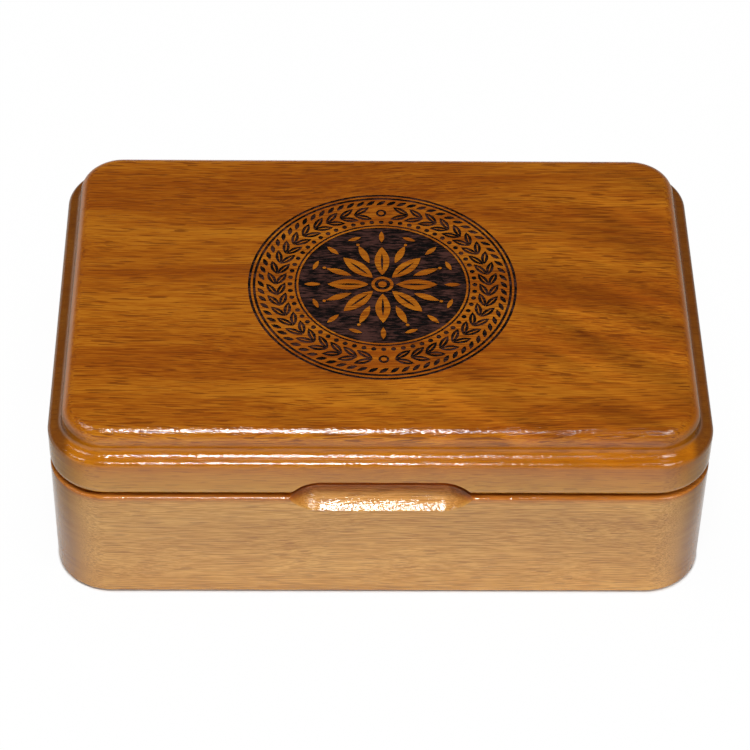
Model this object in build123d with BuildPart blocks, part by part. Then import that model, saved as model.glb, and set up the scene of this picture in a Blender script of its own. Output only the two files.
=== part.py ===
from build123d import *
import math
import os

# Hinged hardwood case for one badge. Millimetres, +Z up, +X to the right, front face towards -Y.
# The origin is the centre of the underside.

os.makedirs("parts", exist_ok=True)

# ---- Case outline and heights --------------------------------------------------------------
WIDTH = 180.0
DEPTH = 121.0
HEIGHT = 59.5
CORNER_R = 16.0
WALL = 12.0
INNER_R = 6.0
FELT_T = 0.8
FELT_INSET = 3.0
FLOOR_T = 7.0
SEAM_Z = 38.8
SEAM_GAP = 0.3
RIM_Z = SEAM_Z - SEAM_GAP / 2
LID_Z = SEAM_Z + SEAM_GAP / 2
CAVITY_Z = FELT_T + FLOOR_T
FRONT_Y = -DEPTH / 2
BACK_Y = DEPTH / 2

# ---- Edge profiles -------------------------------------------------------------------------
RIM_EASE = 0.6          # top outer edge of the body
FOOT_EASE = 0.35        # bottom outer edge of the body
LID_LOWER_R = 3.4       # rounded lower edge of the lid
LEDGE_Z = 51.85         # narrow ledge round the raised panel
LEDGE_EASE = 1.6
PANEL_INSET = 4.0
PANEL_COVE_R = 2.3
PANEL_EASE = 3.6
LID_HOLLOW = 10.5

# ---- Thumb scoop across the seam: a shallow slope in the body, a round notch in the lid ------
SCOOP_LENGTH = 50.0
SCOOP_RUNOUT = 9.0
SCOOP_LIP_Z = 33.8      # lower edge of the slope, on the front face
SCOOP_LIP_DEG = 26.0    # slope of the surface at that edge
SCOOP_R = 11.65
NOTCH_INSET = 0.5       # front face to the notch's axis
NOTCH_R = 6.25

# ---- Round engraved panel in the lid -------------------------------------------------------
ROUNDEL_R = 37.6
ROUNDEL_PLACE = (0.8, 1.6)
ROUNDEL_LINE_W = 0.5
ROUNDEL_LINE_STEP = 1.2
ROUNDEL_FIELD_R = 23.5
ENGRAVE_DEPTH = 0.3

# ---- Hinges --------------------------------------------------------------------------------
HINGE_INSET = 3.0       # axis to back face
HINGE_Y = BACK_Y - HINGE_INSET
HINGE_X = 52.0
HINGE_L = 25.0
LEAF_T = 1.0
LEAF_REACH = 7.8        # axis to the leaf's inner edge
LEAF_CORNER_R = 0.6
KNUCKLE_R = 1.6
KNUCKLE_MID = 9.2       # length of the lid leaf's knuckle
KNUCKLE_GAP = 0.1
KNUCKLE_CLEAR = 0.15
PIN_R = 0.7
PIN_RUNNING = 0.04
PIN_PROUD = 0.4
WOOD_RELIEF = 0.3       # wood round the barrel
MORTISE_CLEAR = 0.05
BACK_BEVEL_DEG = 50.0   # each edge, from the seam plane: the stop at full opening
BEVEL_REACH = 6.0

# ---- Screws and magnets --------------------------------------------------------------------
SCREW_X = 7.6
SCREW_SHANK_R = 0.9
SCREW_HEAD_R = 1.7
SCREW_LENGTH = 6.5
SCREW_TIP = 1.4
SCREW_SLOT_W = 0.4
SCREW_SLOT_DEPTH = 0.35
SCREW_FIT = 0.02
MAGNET_R = 2.5
MAGNET_T = 2.0
MAGNET_X = 58.0
MAGNET_INSET = 8.0
MAGNET_FIT = 0.03

# ---- Linings and pads ----------------------------------------------------------------------
FLOOR_LINING_T = 1.0
WALL_LINING_T = 1.2
LINING_FIT = 0.1
LINING_DROP = 2.6       # rim to the top of the wall lining
INSERT_GAP = 0.6        # insert to wall lining
FOAM_T = 10.0
BOARD_T = 2.0
CUSHION_T = 10.0
CUSHION_EASE = 2.5
RECESS_W = 60.0
RECESS_D = 76.0
RECESS_DEPTH = 7.0
RIBBON_W = 10.0
RIBBON_T = 0.4
RIBBON_TAIL = 24.0
LID_BOARD_T = 1.5
LID_BOARD_FIT = 0.2
LID_CUSHION_T = 4.0
LID_CUSHION_FIT = 0.6
LID_CUSHION_EASE = 1.6

# ---- Heights worked out from the sizes above -----------------------------------------------
INNER_WIDTH = WIDTH - 2 * WALL
INNER_DEPTH = DEPTH - 2 * WALL
FOAM_Z = CAVITY_Z + FLOOR_LINING_T
BOARD_Z = FOAM_Z + FOAM_T
CUSHION_Z = BOARD_Z + BOARD_T
CUSHION_TOP_Z = CUSHION_Z + CUSHION_T
INSERT_INSET = LINING_FIT + WALL_LINING_T + INSERT_GAP
HOLLOW_Z = LID_Z + LID_HOLLOW
LEAF_MID_Y = HINGE_Y - LEAF_REACH / 2
SCREW_Y = HINGE_Y - LEAF_REACH * 0.62
HINGE_CENTRES = {"left": -HINGE_X, "right": HINGE_X}
BASE_SIDE = -1
LID_SIDE = 1


def outer_outline(inset):
    """The case's outline, stepped in by inset."""
    return RectangleRounded(WIDTH - 2 * inset, DEPTH - 2 * inset, CORNER_R - inset)


def inner_outline(inset):
    """The routed hollow's outline, stepped in by inset."""
    return RectangleRounded(INNER_WIDTH - 2 * inset, INNER_DEPTH - 2 * inset, INNER_R - inset)


def lining_slab(inset, low_z, thickness):
    """A flat board or pad that fills the hollow's outline, stepped in by inset."""
    with BuildPart() as slab:
        with BuildSketch(Plane.XY.offset(low_z)):
            inner_outline(inset)
        extrude(amount=thickness)
    return slab


def leaf_face(centre_x, side):
    """The plane of a leaf's seam-side face, its Z pointing out of the leaf."""
    origin = (centre_x, LEAF_MID_Y, SEAM_Z + side * SEAM_GAP / 2)
    return Plane(origin=origin, x_dir=(1, 0, 0), z_dir=(0, 0, -side))


def screw_places(side):
    """A location for each of the screws of one body, head up out of the leaf."""
    places = []
    for centre_x in HINGE_CENTRES.values():
        for offset_x in (-SCREW_X, SCREW_X):
            origin = (centre_x + offset_x, SCREW_Y, SEAM_Z + side * SEAM_GAP / 2)
            places.append(Plane(origin=origin, x_dir=(1, 0, 0), z_dir=(0, 0, -side)).location)
    return places


def magnet_places(side):
    """A location for each magnet of one body, its Z pointing into the wood."""
    places = []
    for centre_x in (-MAGNET_X, MAGNET_X):
        origin = (centre_x, FRONT_Y + MAGNET_INSET, SEAM_Z + side * SEAM_GAP / 2)
        places.append(Plane(origin=origin, x_dir=(1, 0, 0), z_dir=(0, 0, side)).location)
    return places


def knuckle_spans(side):
    """The stretches along X that one leaf's knuckles fill, from the hinge's centre."""
    if side == LID_SIDE:
        return [(-KNUCKLE_MID / 2, KNUCKLE_MID / 2)]
    inner = KNUCKLE_MID / 2 + KNUCKLE_GAP
    return [(-HINGE_L / 2, -inner), (inner, HINGE_L / 2)]


# ---- Cutters -------------------------------------------------------------------------------
def spindle(axis_y, axis_z, radius, end_radius):
    """A turned shape along X: a straight middle with a round run-out to each end."""
    straight_half = SCOOP_LENGTH / 2 - SCOOP_RUNOUT
    with BuildPart() as turned:
        with BuildSketch(Plane(origin=(0, axis_y, axis_z), x_dir=(1, 0, 0), z_dir=(0, -1, 0))):
            with BuildLine():
                crest = Line((-straight_half, radius), (straight_half, radius))
                right = TangentArc(crest @ 1, (SCOOP_LENGTH / 2, end_radius), tangent=(1, 0))
                left = TangentArc(crest @ 0, (-SCOOP_LENGTH / 2, end_radius), tangent=(-1, 0))
                Polyline(right @ 1, (SCOOP_LENGTH / 2, 0), (-SCOOP_LENGTH / 2, 0), left @ 1)
            make_face()
        revolve(axis=Axis((0, axis_y, axis_z), (1, 0, 0)))
    return turned


# The body's slope leaves the front face at its lip; its run-outs die out at the rim's outer edge.
scoop_lip = math.radians(SCOOP_LIP_DEG)
scoop_axis_y = FRONT_Y - SCOOP_R * math.sin(scoop_lip)
scoop_axis_z = SCOOP_LIP_Z + SCOOP_R * math.cos(scoop_lip)
scoop_end_r = math.hypot(FRONT_Y - scoop_axis_y, RIM_Z - scoop_axis_z)
scoop_cutter = spindle(scoop_axis_y, scoop_axis_z, SCOOP_R, scoop_end_r)
notch_cutter = spindle(FRONT_Y + NOTCH_INSET, SEAM_Z, NOTCH_R, NOTCH_INSET)
SEAM_CUTTERS = {BASE_SIDE: scoop_cutter, LID_SIDE: notch_cutter}

# Wedge with its apex on the hinge axis: it bevels the back edges of the body and of the lid.
bevel_rise = BEVEL_REACH * math.tan(math.radians(BACK_BEVEL_DEG))
with BuildPart() as bevel_cutter:
    with BuildSketch(Plane.YZ.offset(-WIDTH / 2)):
        with BuildLine():
            apex = (HINGE_Y, SEAM_Z)
            below = (HINGE_Y + BEVEL_REACH, SEAM_Z - bevel_rise)
            above = (HINGE_Y + BEVEL_REACH, SEAM_Z + bevel_rise)
            Polyline(apex, below, above, close=True)
        make_face()
    extrude(amount=WIDTH)

# Room in the wood for the two barrels.
with BuildPart() as barrel_cutter:
    relief_half = HINGE_L / 2 + PIN_PROUD + WOOD_RELIEF
    for centre_x in HINGE_CENTRES.values():
        with BuildSketch(Plane.YZ.offset(centre_x - relief_half)):
            with Locations((HINGE_Y, SEAM_Z)):
                Circle(KNUCKLE_R + WOOD_RELIEF)
        extrude(amount=2 * relief_half)

# One countersunk wood screw, head at Z = 0 and point down.
with BuildPart() as screw:
    with BuildSketch(Plane.XZ):
        with BuildLine():
            cone_depth = SCREW_HEAD_R - SCREW_SHANK_R
            Polyline(
                (0, 0),
                (SCREW_HEAD_R, 0),
                (SCREW_SHANK_R, -cone_depth),
                (SCREW_SHANK_R, SCREW_TIP - SCREW_LENGTH),
                (0, -SCREW_LENGTH),
                close=True,
            )
        make_face()
    revolve(axis=Axis.Z)
    with BuildSketch(Plane.XY):
        Rectangle(2 * SCREW_HEAD_R, SCREW_SLOT_W)
    extrude(amount=-SCREW_SLOT_DEPTH, mode=Mode.SUBTRACT)

# The pilot hole for it, a little larger all round.
with BuildPart() as pilot_cutter:
    with BuildSketch(Plane.XY):
        Circle(SCREW_SHANK_R + SCREW_FIT)
    extrude(amount=-(SCREW_LENGTH + SCREW_FIT))

# One disc magnet, and the bore for it.
with BuildPart() as magnet:
    with BuildSketch(Plane.XY):
        Circle(MAGNET_R)
    extrude(amount=MAGNET_T)

with BuildPart() as magnet_cutter:
    with BuildSketch(Plane.XY):
        Circle(MAGNET_R + MAGNET_FIT)
    extrude(amount=MAGNET_T)

# The mortise for one hinge leaf, its mouth at Z = 0.
with BuildPart() as mortise_cutter:
    with BuildSketch(Plane.XY):
        Rectangle(HINGE_L + 2 * MORTISE_CLEAR, LEAF_REACH + 2 * MORTISE_CLEAR)
    extrude(amount=-LEAF_T)


def cut_seam_fittings(side):
    """Cut the scoop or notch, bevel, barrel room, mortises, pilot holes and magnet bores."""
    add(SEAM_CUTTERS[side].part, mode=Mode.SUBTRACT)
    add(bevel_cutter.part, mode=Mode.SUBTRACT)
    add(barrel_cutter.part, mode=Mode.SUBTRACT)
    with Locations(*[leaf_face(centre_x, side).location for centre_x in HINGE_CENTRES.values()]):
        add(mortise_cutter.part, mode=Mode.SUBTRACT)
    with Locations(*screw_places(side)):
        add(pilot_cutter.part, mode=Mode.SUBTRACT)
    with Locations(*magnet_places(side)):
        add(magnet_cutter.part, mode=Mode.SUBTRACT)


# ---- Case body -----------------------------------------------------------------------------
with BuildPart() as case_body:
    with BuildSketch(Plane.XY.offset(FELT_T)):
        outer_outline(0)
    extrude(amount=RIM_Z - FELT_T)
    fillet(case_body.edges().group_by(Axis.Z)[-1], radius=RIM_EASE)
    fillet(case_body.edges().group_by(Axis.Z)[0], radius=FOOT_EASE)
    with BuildSketch(Plane.XY.offset(CAVITY_Z)):
        inner_outline(0)
    extrude(amount=RIM_Z - CAVITY_Z, mode=Mode.SUBTRACT)
    cut_seam_fittings(BASE_SIDE)
case_body.part.label = "case_body"
export_step(case_body.part, "parts/case_body.step")

# ---- Lid -----------------------------------------------------------------------------------
with BuildPart() as lid_block:
    with BuildSketch(Plane.XY.offset(LID_Z)):
        outer_outline(0)
    extrude(amount=LEDGE_Z - LID_Z)
    fillet(lid_block.edges().group_by(Axis.Z)[-1], radius=LEDGE_EASE)
    fillet(lid_block.edges().group_by(Axis.Z)[0], radius=LID_LOWER_R)
    with BuildSketch(Plane.XY.offset(LEDGE_Z)):
        outer_outline(PANEL_INSET)
    extrude(amount=HEIGHT - LEDGE_Z)
    fillet(lid_block.edges().group_by(Axis.Z)[-1], radius=PANEL_EASE)
    ledge = lid_block.faces().filter_by_position(Axis.Z, LEDGE_Z, LEDGE_Z).sort_by(SortBy.AREA)[-1]
    fillet(ledge.inner_wires()[0].edges(), radius=PANEL_COVE_R)
    with BuildSketch(Plane.XY.offset(LID_Z)):
        inner_outline(0)
    extrude(amount=LID_HOLLOW, mode=Mode.SUBTRACT)
    cut_seam_fittings(LID_SIDE)
    # Engraved double ring and sunk field in the top.
    for line in (0, 1):
        line_r = ROUNDEL_R - line * ROUNDEL_LINE_STEP
        with BuildSketch(Plane.XY.offset(HEIGHT)):
            with Locations(ROUNDEL_PLACE):
                Circle(line_r)
                Circle(line_r - ROUNDEL_LINE_W, mode=Mode.SUBTRACT)
        extrude(amount=-ENGRAVE_DEPTH, mode=Mode.SUBTRACT)
    with BuildSketch(Plane.XY.offset(HEIGHT)):
        with Locations(ROUNDEL_PLACE):
            Circle(ROUNDEL_FIELD_R)
    extrude(amount=-ENGRAVE_DEPTH, mode=Mode.SUBTRACT)
lid_block.part.label = "lid_block"
export_step(lid_block.part, "parts/lid_block.step")

# ---- Felt under the case -------------------------------------------------------------------
with BuildPart() as base_felt:
    with BuildSketch(Plane.XY):
        outer_outline(FELT_INSET)
    extrude(amount=FELT_T)
base_felt.part.label = "base_felt"
export_step(base_felt.part, "parts/base_felt.step")

# ---- Linings and insert --------------------------------------------------------------------
floor_lining = lining_slab(LINING_FIT, CAVITY_Z, FLOOR_LINING_T)
floor_lining.part.label = "floor_lining"
export_step(floor_lining.part, "parts/floor_lining.step")

wall_lining_inner = LINING_FIT + WALL_LINING_T
with BuildPart() as wall_lining:
    with BuildSketch(Plane.XY.offset(FOAM_Z)):
        inner_outline(LINING_FIT)
        RectangleRounded(
            INNER_WIDTH - 2 * wall_lining_inner,
            INNER_DEPTH - 2 * wall_lining_inner,
            INNER_R - wall_lining_inner,
            mode=Mode.SUBTRACT,
        )
    extrude(amount=RIM_Z - LINING_DROP - FOAM_Z)
wall_lining.part.label = "wall_lining"
export_step(wall_lining.part, "parts/wall_lining.step")

foam_riser = lining_slab(INSERT_INSET, FOAM_Z, FOAM_T)
foam_riser.part.label = "foam_riser"
export_step(foam_riser.part, "parts/foam_riser.step")

insert_board = lining_slab(INSERT_INSET, BOARD_Z, BOARD_T)
insert_board.part.label = "insert_board"
export_step(insert_board.part, "parts/insert_board.step")

with BuildPart() as badge_cushion:
    with BuildSketch(Plane.XY.offset(CUSHION_Z)):
        inner_outline(INSERT_INSET)
    extrude(amount=CUSHION_T)
    fillet(badge_cushion.edges().group_by(Axis.Z)[-1], radius=CUSHION_EASE)
    with BuildSketch(Plane.XY.offset(CUSHION_TOP_Z)):
        Ellipse(RECESS_W / 2, RECESS_D / 2)
    extrude(amount=-RECESS_DEPTH, mode=Mode.SUBTRACT)
badge_cushion.part.label = "badge_cushion"
export_step(badge_cushion.part, "parts/badge_cushion.step")

# Ribbon: up between the insert and the right wall, then over the top of the cushion.
ribbon_outer_x = INNER_WIDTH / 2 - LINING_FIT - WALL_LINING_T - (INSERT_GAP - RIBBON_T) / 2
ribbon_top_z = CUSHION_TOP_Z + LINING_FIT + RIBBON_T
with BuildPart() as pull_ribbon:
    with BuildSketch(Plane.XZ.offset(-RIBBON_W / 2)):
        with BuildLine():
            Polyline(
                (ribbon_outer_x, BOARD_Z),
                (ribbon_outer_x, ribbon_top_z),
                (ribbon_outer_x - RIBBON_TAIL, ribbon_top_z),
                (ribbon_outer_x - RIBBON_TAIL, ribbon_top_z - RIBBON_T),
                (ribbon_outer_x - RIBBON_T, ribbon_top_z - RIBBON_T),
                (ribbon_outer_x - RIBBON_T, BOARD_Z),
                close=True,
            )
        make_face()
    extrude(amount=RIBBON_W)
pull_ribbon.part.label = "pull_ribbon"
export_step(pull_ribbon.part, "parts/pull_ribbon.step")

lid_board = lining_slab(LID_BOARD_FIT, HOLLOW_Z - LID_BOARD_T, LID_BOARD_T)
lid_board.part.label = "lid_board"
export_step(lid_board.part, "parts/lid_board.step")

with BuildPart() as lid_cushion:
    with BuildSketch(Plane.XY.offset(HOLLOW_Z - LID_BOARD_T - LID_CUSHION_T)):
        inner_outline(LID_CUSHION_FIT)
    extrude(amount=LID_CUSHION_T)
    fillet(lid_cushion.edges().group_by(Axis.Z)[0], radius=LID_CUSHION_EASE)
lid_cushion.part.label = "lid_cushion"
export_step(lid_cushion.part, "parts/lid_cushion.step")


# ---- Hinges --------------------------------------------------------------------------------
def hinge_leaf(centre_x, side, bore_r):
    """One leaf of a butt hinge with its knuckles, let into the rim flush with the wood."""
    with BuildPart() as leaf:
        with BuildSketch(leaf_face(centre_x, side)):
            RectangleRounded(HINGE_L, LEAF_REACH, LEAF_CORNER_R)
        extrude(amount=-LEAF_T)
        for start, end in knuckle_spans(-side):
            with BuildSketch(Plane.YZ.offset(centre_x + start - KNUCKLE_GAP)):
                with Locations((HINGE_Y, SEAM_Z)):
                    Circle(KNUCKLE_R + KNUCKLE_CLEAR)
            extrude(amount=end - start + 2 * KNUCKLE_GAP, mode=Mode.SUBTRACT)
        for start, end in knuckle_spans(side):
            with BuildSketch(Plane.YZ.offset(centre_x + start)):
                with Locations((HINGE_Y, SEAM_Z)):
                    Circle(KNUCKLE_R)
            extrude(amount=end - start)
        with BuildSketch(Plane.YZ.offset(centre_x - HINGE_L / 2)):
            with Locations((HINGE_Y, SEAM_Z)):
                Circle(bore_r)
        extrude(amount=HINGE_L, mode=Mode.SUBTRACT)
        for place in screw_places(side):
            if abs(place.position.X - centre_x) < HINGE_L / 2:
                with Locations(place):
                    CounterSinkHole(SCREW_SHANK_R + SCREW_FIT, SCREW_HEAD_R + SCREW_FIT,
                                    depth=LEAF_T, counter_sink_angle=90)
    return leaf


def hinge_pin(centre_x):
    """The pin of one hinge, its rounded ends just proud of the barrel."""
    with BuildPart() as pin:
        with BuildSketch(Plane.YZ.offset(centre_x - HINGE_L / 2 - PIN_PROUD)):
            with Locations((HINGE_Y, SEAM_Z)):
                Circle(PIN_R)
        extrude(amount=HINGE_L + 2 * PIN_PROUD)
        fillet(pin.edges().filter_by(GeomType.CIRCLE), radius=PIN_PROUD * 0.9)
    return pin


for hand, hinge_x in HINGE_CENTRES.items():
    base_leaf = hinge_leaf(hinge_x, BASE_SIDE, PIN_R)
    base_leaf.part.label = f"hinge_leaf_base_{hand}"
    export_step(base_leaf.part, f"parts/hinge_leaf_base_{hand}.step")
    lid_leaf = hinge_leaf(hinge_x, LID_SIDE, PIN_R + PIN_RUNNING)
    lid_leaf.part.label = f"hinge_leaf_lid_{hand}"
    export_step(lid_leaf.part, f"parts/hinge_leaf_lid_{hand}.step")
    pin = hinge_pin(hinge_x)
    pin.part.label = f"hinge_pin_{hand}"
    export_step(pin.part, f"parts/hinge_pin_{hand}.step")

# ---- Screws and magnets, one node for each body --------------------------------------------
for owner, side in (("base", BASE_SIDE), ("lid", LID_SIDE)):
    with BuildPart() as screws:
        with Locations(*screw_places(side)):
            add(screw.part)
    screws.part.label = f"hinge_screws_{owner}"
    export_step(screws.part, f"parts/hinge_screws_{owner}.step")
    with BuildPart() as magnets:
        with Locations(*magnet_places(side)):
            add(magnet.part)
    magnets.part.label = f"magnets_{owner}"
    export_step(magnets.part, f"parts/magnets_{owner}.step")
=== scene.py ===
"""Looks of a hinged hardwood badge display case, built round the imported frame.

Sizes in the classes are millimetres in the frame's own axes. Meshes are written in metres.
"""

import logging
import math
from collections.abc import Iterable, Sequence
from dataclasses import dataclass
from enum import Enum
from typing import Any, Union

import bmesh
import bpy
from mathutils import Matrix, Vector, geometry, noise


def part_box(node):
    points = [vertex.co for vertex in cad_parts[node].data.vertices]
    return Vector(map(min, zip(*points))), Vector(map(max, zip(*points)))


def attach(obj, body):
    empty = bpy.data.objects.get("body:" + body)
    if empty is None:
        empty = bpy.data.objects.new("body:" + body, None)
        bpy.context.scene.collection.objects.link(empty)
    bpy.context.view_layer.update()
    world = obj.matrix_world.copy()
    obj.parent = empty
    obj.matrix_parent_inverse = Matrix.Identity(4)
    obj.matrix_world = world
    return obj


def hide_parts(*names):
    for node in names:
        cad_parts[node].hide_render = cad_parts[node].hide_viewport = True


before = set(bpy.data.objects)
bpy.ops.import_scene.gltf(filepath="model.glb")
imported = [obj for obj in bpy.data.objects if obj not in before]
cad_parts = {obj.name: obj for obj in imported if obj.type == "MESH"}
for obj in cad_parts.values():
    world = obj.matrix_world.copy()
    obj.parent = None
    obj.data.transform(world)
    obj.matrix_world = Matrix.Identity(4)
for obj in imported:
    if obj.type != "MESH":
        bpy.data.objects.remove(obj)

LOG = logging.getLogger("badge_case")
MM = 0.001
Point = tuple[float, float]
Triple = tuple[float, float, float]
Colour = Triple
Term = Union["Wire", float, Triple]
Loops = list[list[Point]]
Rings = Sequence[Sequence[Vector]]
WHITE: Colour = (1.0, 1.0, 1.0)
# Just above the lid: the heights of the painted light and shade are shares of it, and rays that feel for a
# surface start from it.
TOP_Z = 60.0


class Body(Enum):
    """The two bodies that the hinge joins."""

    BASE = "base"
    LID = "lid"

    @property
    def side(self) -> int:
        """Its side of the seam: -1 below it, 1 above it."""
        return 1 if self is Body.LID else -1


# ---- Shader maths ----------------------------------------------------------------------------


class Wire:
    """An output socket of a shader node, with the arithmetic that expressions use."""

    def __init__(self, graph: "Graph", socket: bpy.types.NodeSocket) -> None:
        """Keep the socket and the graph that its next nodes go into."""
        self.graph = graph
        self.socket = socket

    def _with(self, operation: str, left: Term, right: Term) -> "Wire":
        """Join two terms with a Math node, or a Vector Math node if either is a colour or a vector.

        Args:
            operation: The node's operation, such as "ADD".
            left: The first term.
            right: The second term.

        Returns:
            The result's wire.
        """
        flat = all(
            side.socket.type == "VALUE" if isinstance(side, Wire) else isinstance(side, (int, float))
            for side in (left, right)
        )
        kind = "ShaderNodeMath" if flat else "ShaderNodeVectorMath"
        return self.graph.node(kind, {"operation": operation}, {0: left, 1: right})

    def __add__(self, other: Term) -> "Wire":
        """Sum."""
        return self._with("ADD", self, other)

    def __radd__(self, other: Term) -> "Wire":
        """Sum, from the right."""
        return self._with("ADD", other, self)

    def __sub__(self, other: Term) -> "Wire":
        """Difference."""
        return self._with("SUBTRACT", self, other)

    def __rsub__(self, other: Term) -> "Wire":
        """Difference, from the right."""
        return self._with("SUBTRACT", other, self)

    def __mul__(self, other: Term) -> "Wire":
        """Product."""
        return self._with("MULTIPLY", self, other)

    def __rmul__(self, other: Term) -> "Wire":
        """Product, from the right."""
        return self._with("MULTIPLY", other, self)


class Graph:
    """The nodes of one material or world."""

    def __init__(self, owner: bpy.types.ID) -> None:
        """Empty the node tree of a material or world.

        Args:
            owner: The material or world.
        """
        owner.use_nodes = True
        self.owner = owner
        self.tree = owner.node_tree
        self.tree.nodes.clear()

    @classmethod
    def of_new(cls, name: str) -> "Graph":
        """The graph of a new material."""
        return cls(bpy.data.materials.new(name))

    def node(
        self,
        kind: str,
        settings: dict[str, Any] | None = None,
        sockets: dict[int | str, Any] | None = None,
        output: int | str = 0,
    ) -> Wire | None:
        """Add one node.

        Args:
            kind: The node's type.
            settings: Its properties, set first. "stops" are a ramp's (place, colour) pairs.
            sockets: Values or wires for its inputs, by index or name.
            output: The output that the next expression reads.

        Returns:
            That output's wire, or None for a node without outputs.
        """
        made = self.tree.nodes.new(kind)
        for key, value in (settings or {}).items():
            if key == "stops":
                self._set_stops(made.color_ramp, value)
            else:
                setattr(made, key, value)
        for key, value in (sockets or {}).items():
            self._plug(made.inputs[key], value)
        return Wire(self, made.outputs[output]) if len(made.outputs) else None

    @staticmethod
    def _set_stops(ramp: bpy.types.ColorRamp, stops: Sequence[tuple[float, Colour]]) -> None:
        """Give a ramp its stops.

        Args:
            ramp: The ramp.
            stops: (place, colour) pairs, in order.
        """
        while len(ramp.elements) < len(stops):
            ramp.elements.new(1.0)
        for element, (place, colour) in zip(ramp.elements, stops):
            element.position = place
            element.color = (*colour, 1.0)

    def _plug(self, socket: bpy.types.NodeSocket, value: Any) -> None:
        """Link a wire to a socket, or set the socket's own value.

        Args:
            socket: The input.
            value: A wire, a number, or a colour or vector as a tuple.
        """
        if isinstance(value, Wire):
            self.tree.links.new(value.socket, socket)
        elif socket.type == "RGBA":
            socket.default_value = (*value, 1.0)
        elif socket.type == "VECTOR" and isinstance(value, (int, float)):
            socket.default_value = (value, value, value)
        else:
            socket.default_value = value

    def place(self) -> Wire:
        """The surface point in the frame's axes, in millimetres."""
        return self.node("ShaderNodeTexCoord", output="Object") * (1 / MM)

    def grain(self, vector: Wire, detail: float = 2.0, roughness: float = 0.5) -> Wire:
        """Smooth noise, about 0.2 to 0.8, one unit of the vector across.

        Args:
            vector: Where it is read.
            detail: How many finer layers it has.
            roughness: How strong the finer layers are.

        Returns:
            The noise.
        """
        sockets = {"Vector": vector, "Scale": 1.0, "Detail": detail, "Roughness": roughness}
        return self.node("ShaderNodeTexNoise", None, sockets)

    def maths(self, operation: str, first: Term, second: Term = 0.0) -> Wire:
        """A Math node, for an operation on numbers that has no operator here."""
        return self.node("ShaderNodeMath", {"operation": operation}, {0: first, 1: second})

    def step(self, value: Wire, low: float, high: float) -> Wire:
        """A smooth rise from 0 at low to 1 at high."""
        sockets = {"Value": value, "From Min": low, "From Max": high}
        return self.node("ShaderNodeMapRange", {"interpolation_type": "SMOOTHSTEP"}, sockets)

    def out_from(self, value: Wire, rise: Point) -> Wire:
        """A mask that rises over one stretch away from zero, on both sides of it."""
        return self.step(value * value, rise[0] ** 2, rise[1] ** 2)

    def between(self, value: Wire, rise: Point, fall: Point) -> Wire:
        """A mask that rises over one stretch of a value and falls over a later one."""
        return self.step(value, *rise) * (1.0 - self.step(value, *fall))

    def ramp(self, value: Wire, *stops: tuple[float, Colour]) -> Wire:
        """A colour that follows a value through the given stops."""
        return self.node("ShaderNodeValToRGB", {"stops": stops}, {0: value})

    def mix(self, factor: Term, first: Term, second: Term) -> Wire:
        """The first colour, with the second over it as far as the factor says."""
        return self.node("ShaderNodeMix", {"data_type": "RGBA"}, {0: factor, 6: first, 7: second}, 2)

    def vector(self, x: Term, y: Term, z: Term) -> Wire:
        """A vector from three numbers."""
        return self.node("ShaderNodeCombineXYZ", None, {0: x, 1: y, 2: z})

    def part(self, vector: Wire, axis: int) -> Wire:
        """One number of a vector."""
        return self.node("ShaderNodeSeparateXYZ", None, {0: vector}, axis)

    def turn(self, vector: Wire, degrees: float) -> Wire:
        """A vector turned about Z."""
        sockets = {"Vector": vector, "Angle": math.radians(degrees)}
        return self.node("ShaderNodeVectorRotate", {"rotation_type": "Z_AXIS"}, sockets)

    def surface(
        self, colour: Wire, rough: Wire, height: Wire, fixed: dict[str, Any], strength: float = 1.0
    ) -> bpy.types.Material:
        """Finish a material's graph with a Principled surface.

        Args:
            colour: How its colour varies.
            rough: How its roughness varies.
            height: Its relief, in millimetres.
            fixed: What is the same all over it, by the shader's own names.
            strength: How strongly the relief shows.

        Returns:
            The material.
        """
        relief = self.node("ShaderNodeBump", None, {"Height": height, "Distance": MM, "Strength": strength})
        sockets = {"Base Color": colour, "Roughness": rough, "Normal": relief, **fixed}
        shader = self.node("ShaderNodeBsdfPrincipled", None, sockets)
        self.node("ShaderNodeOutputMaterial", None, {"Surface": shader})
        return self.owner


# ---- Finishes --------------------------------------------------------------------------------


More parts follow.
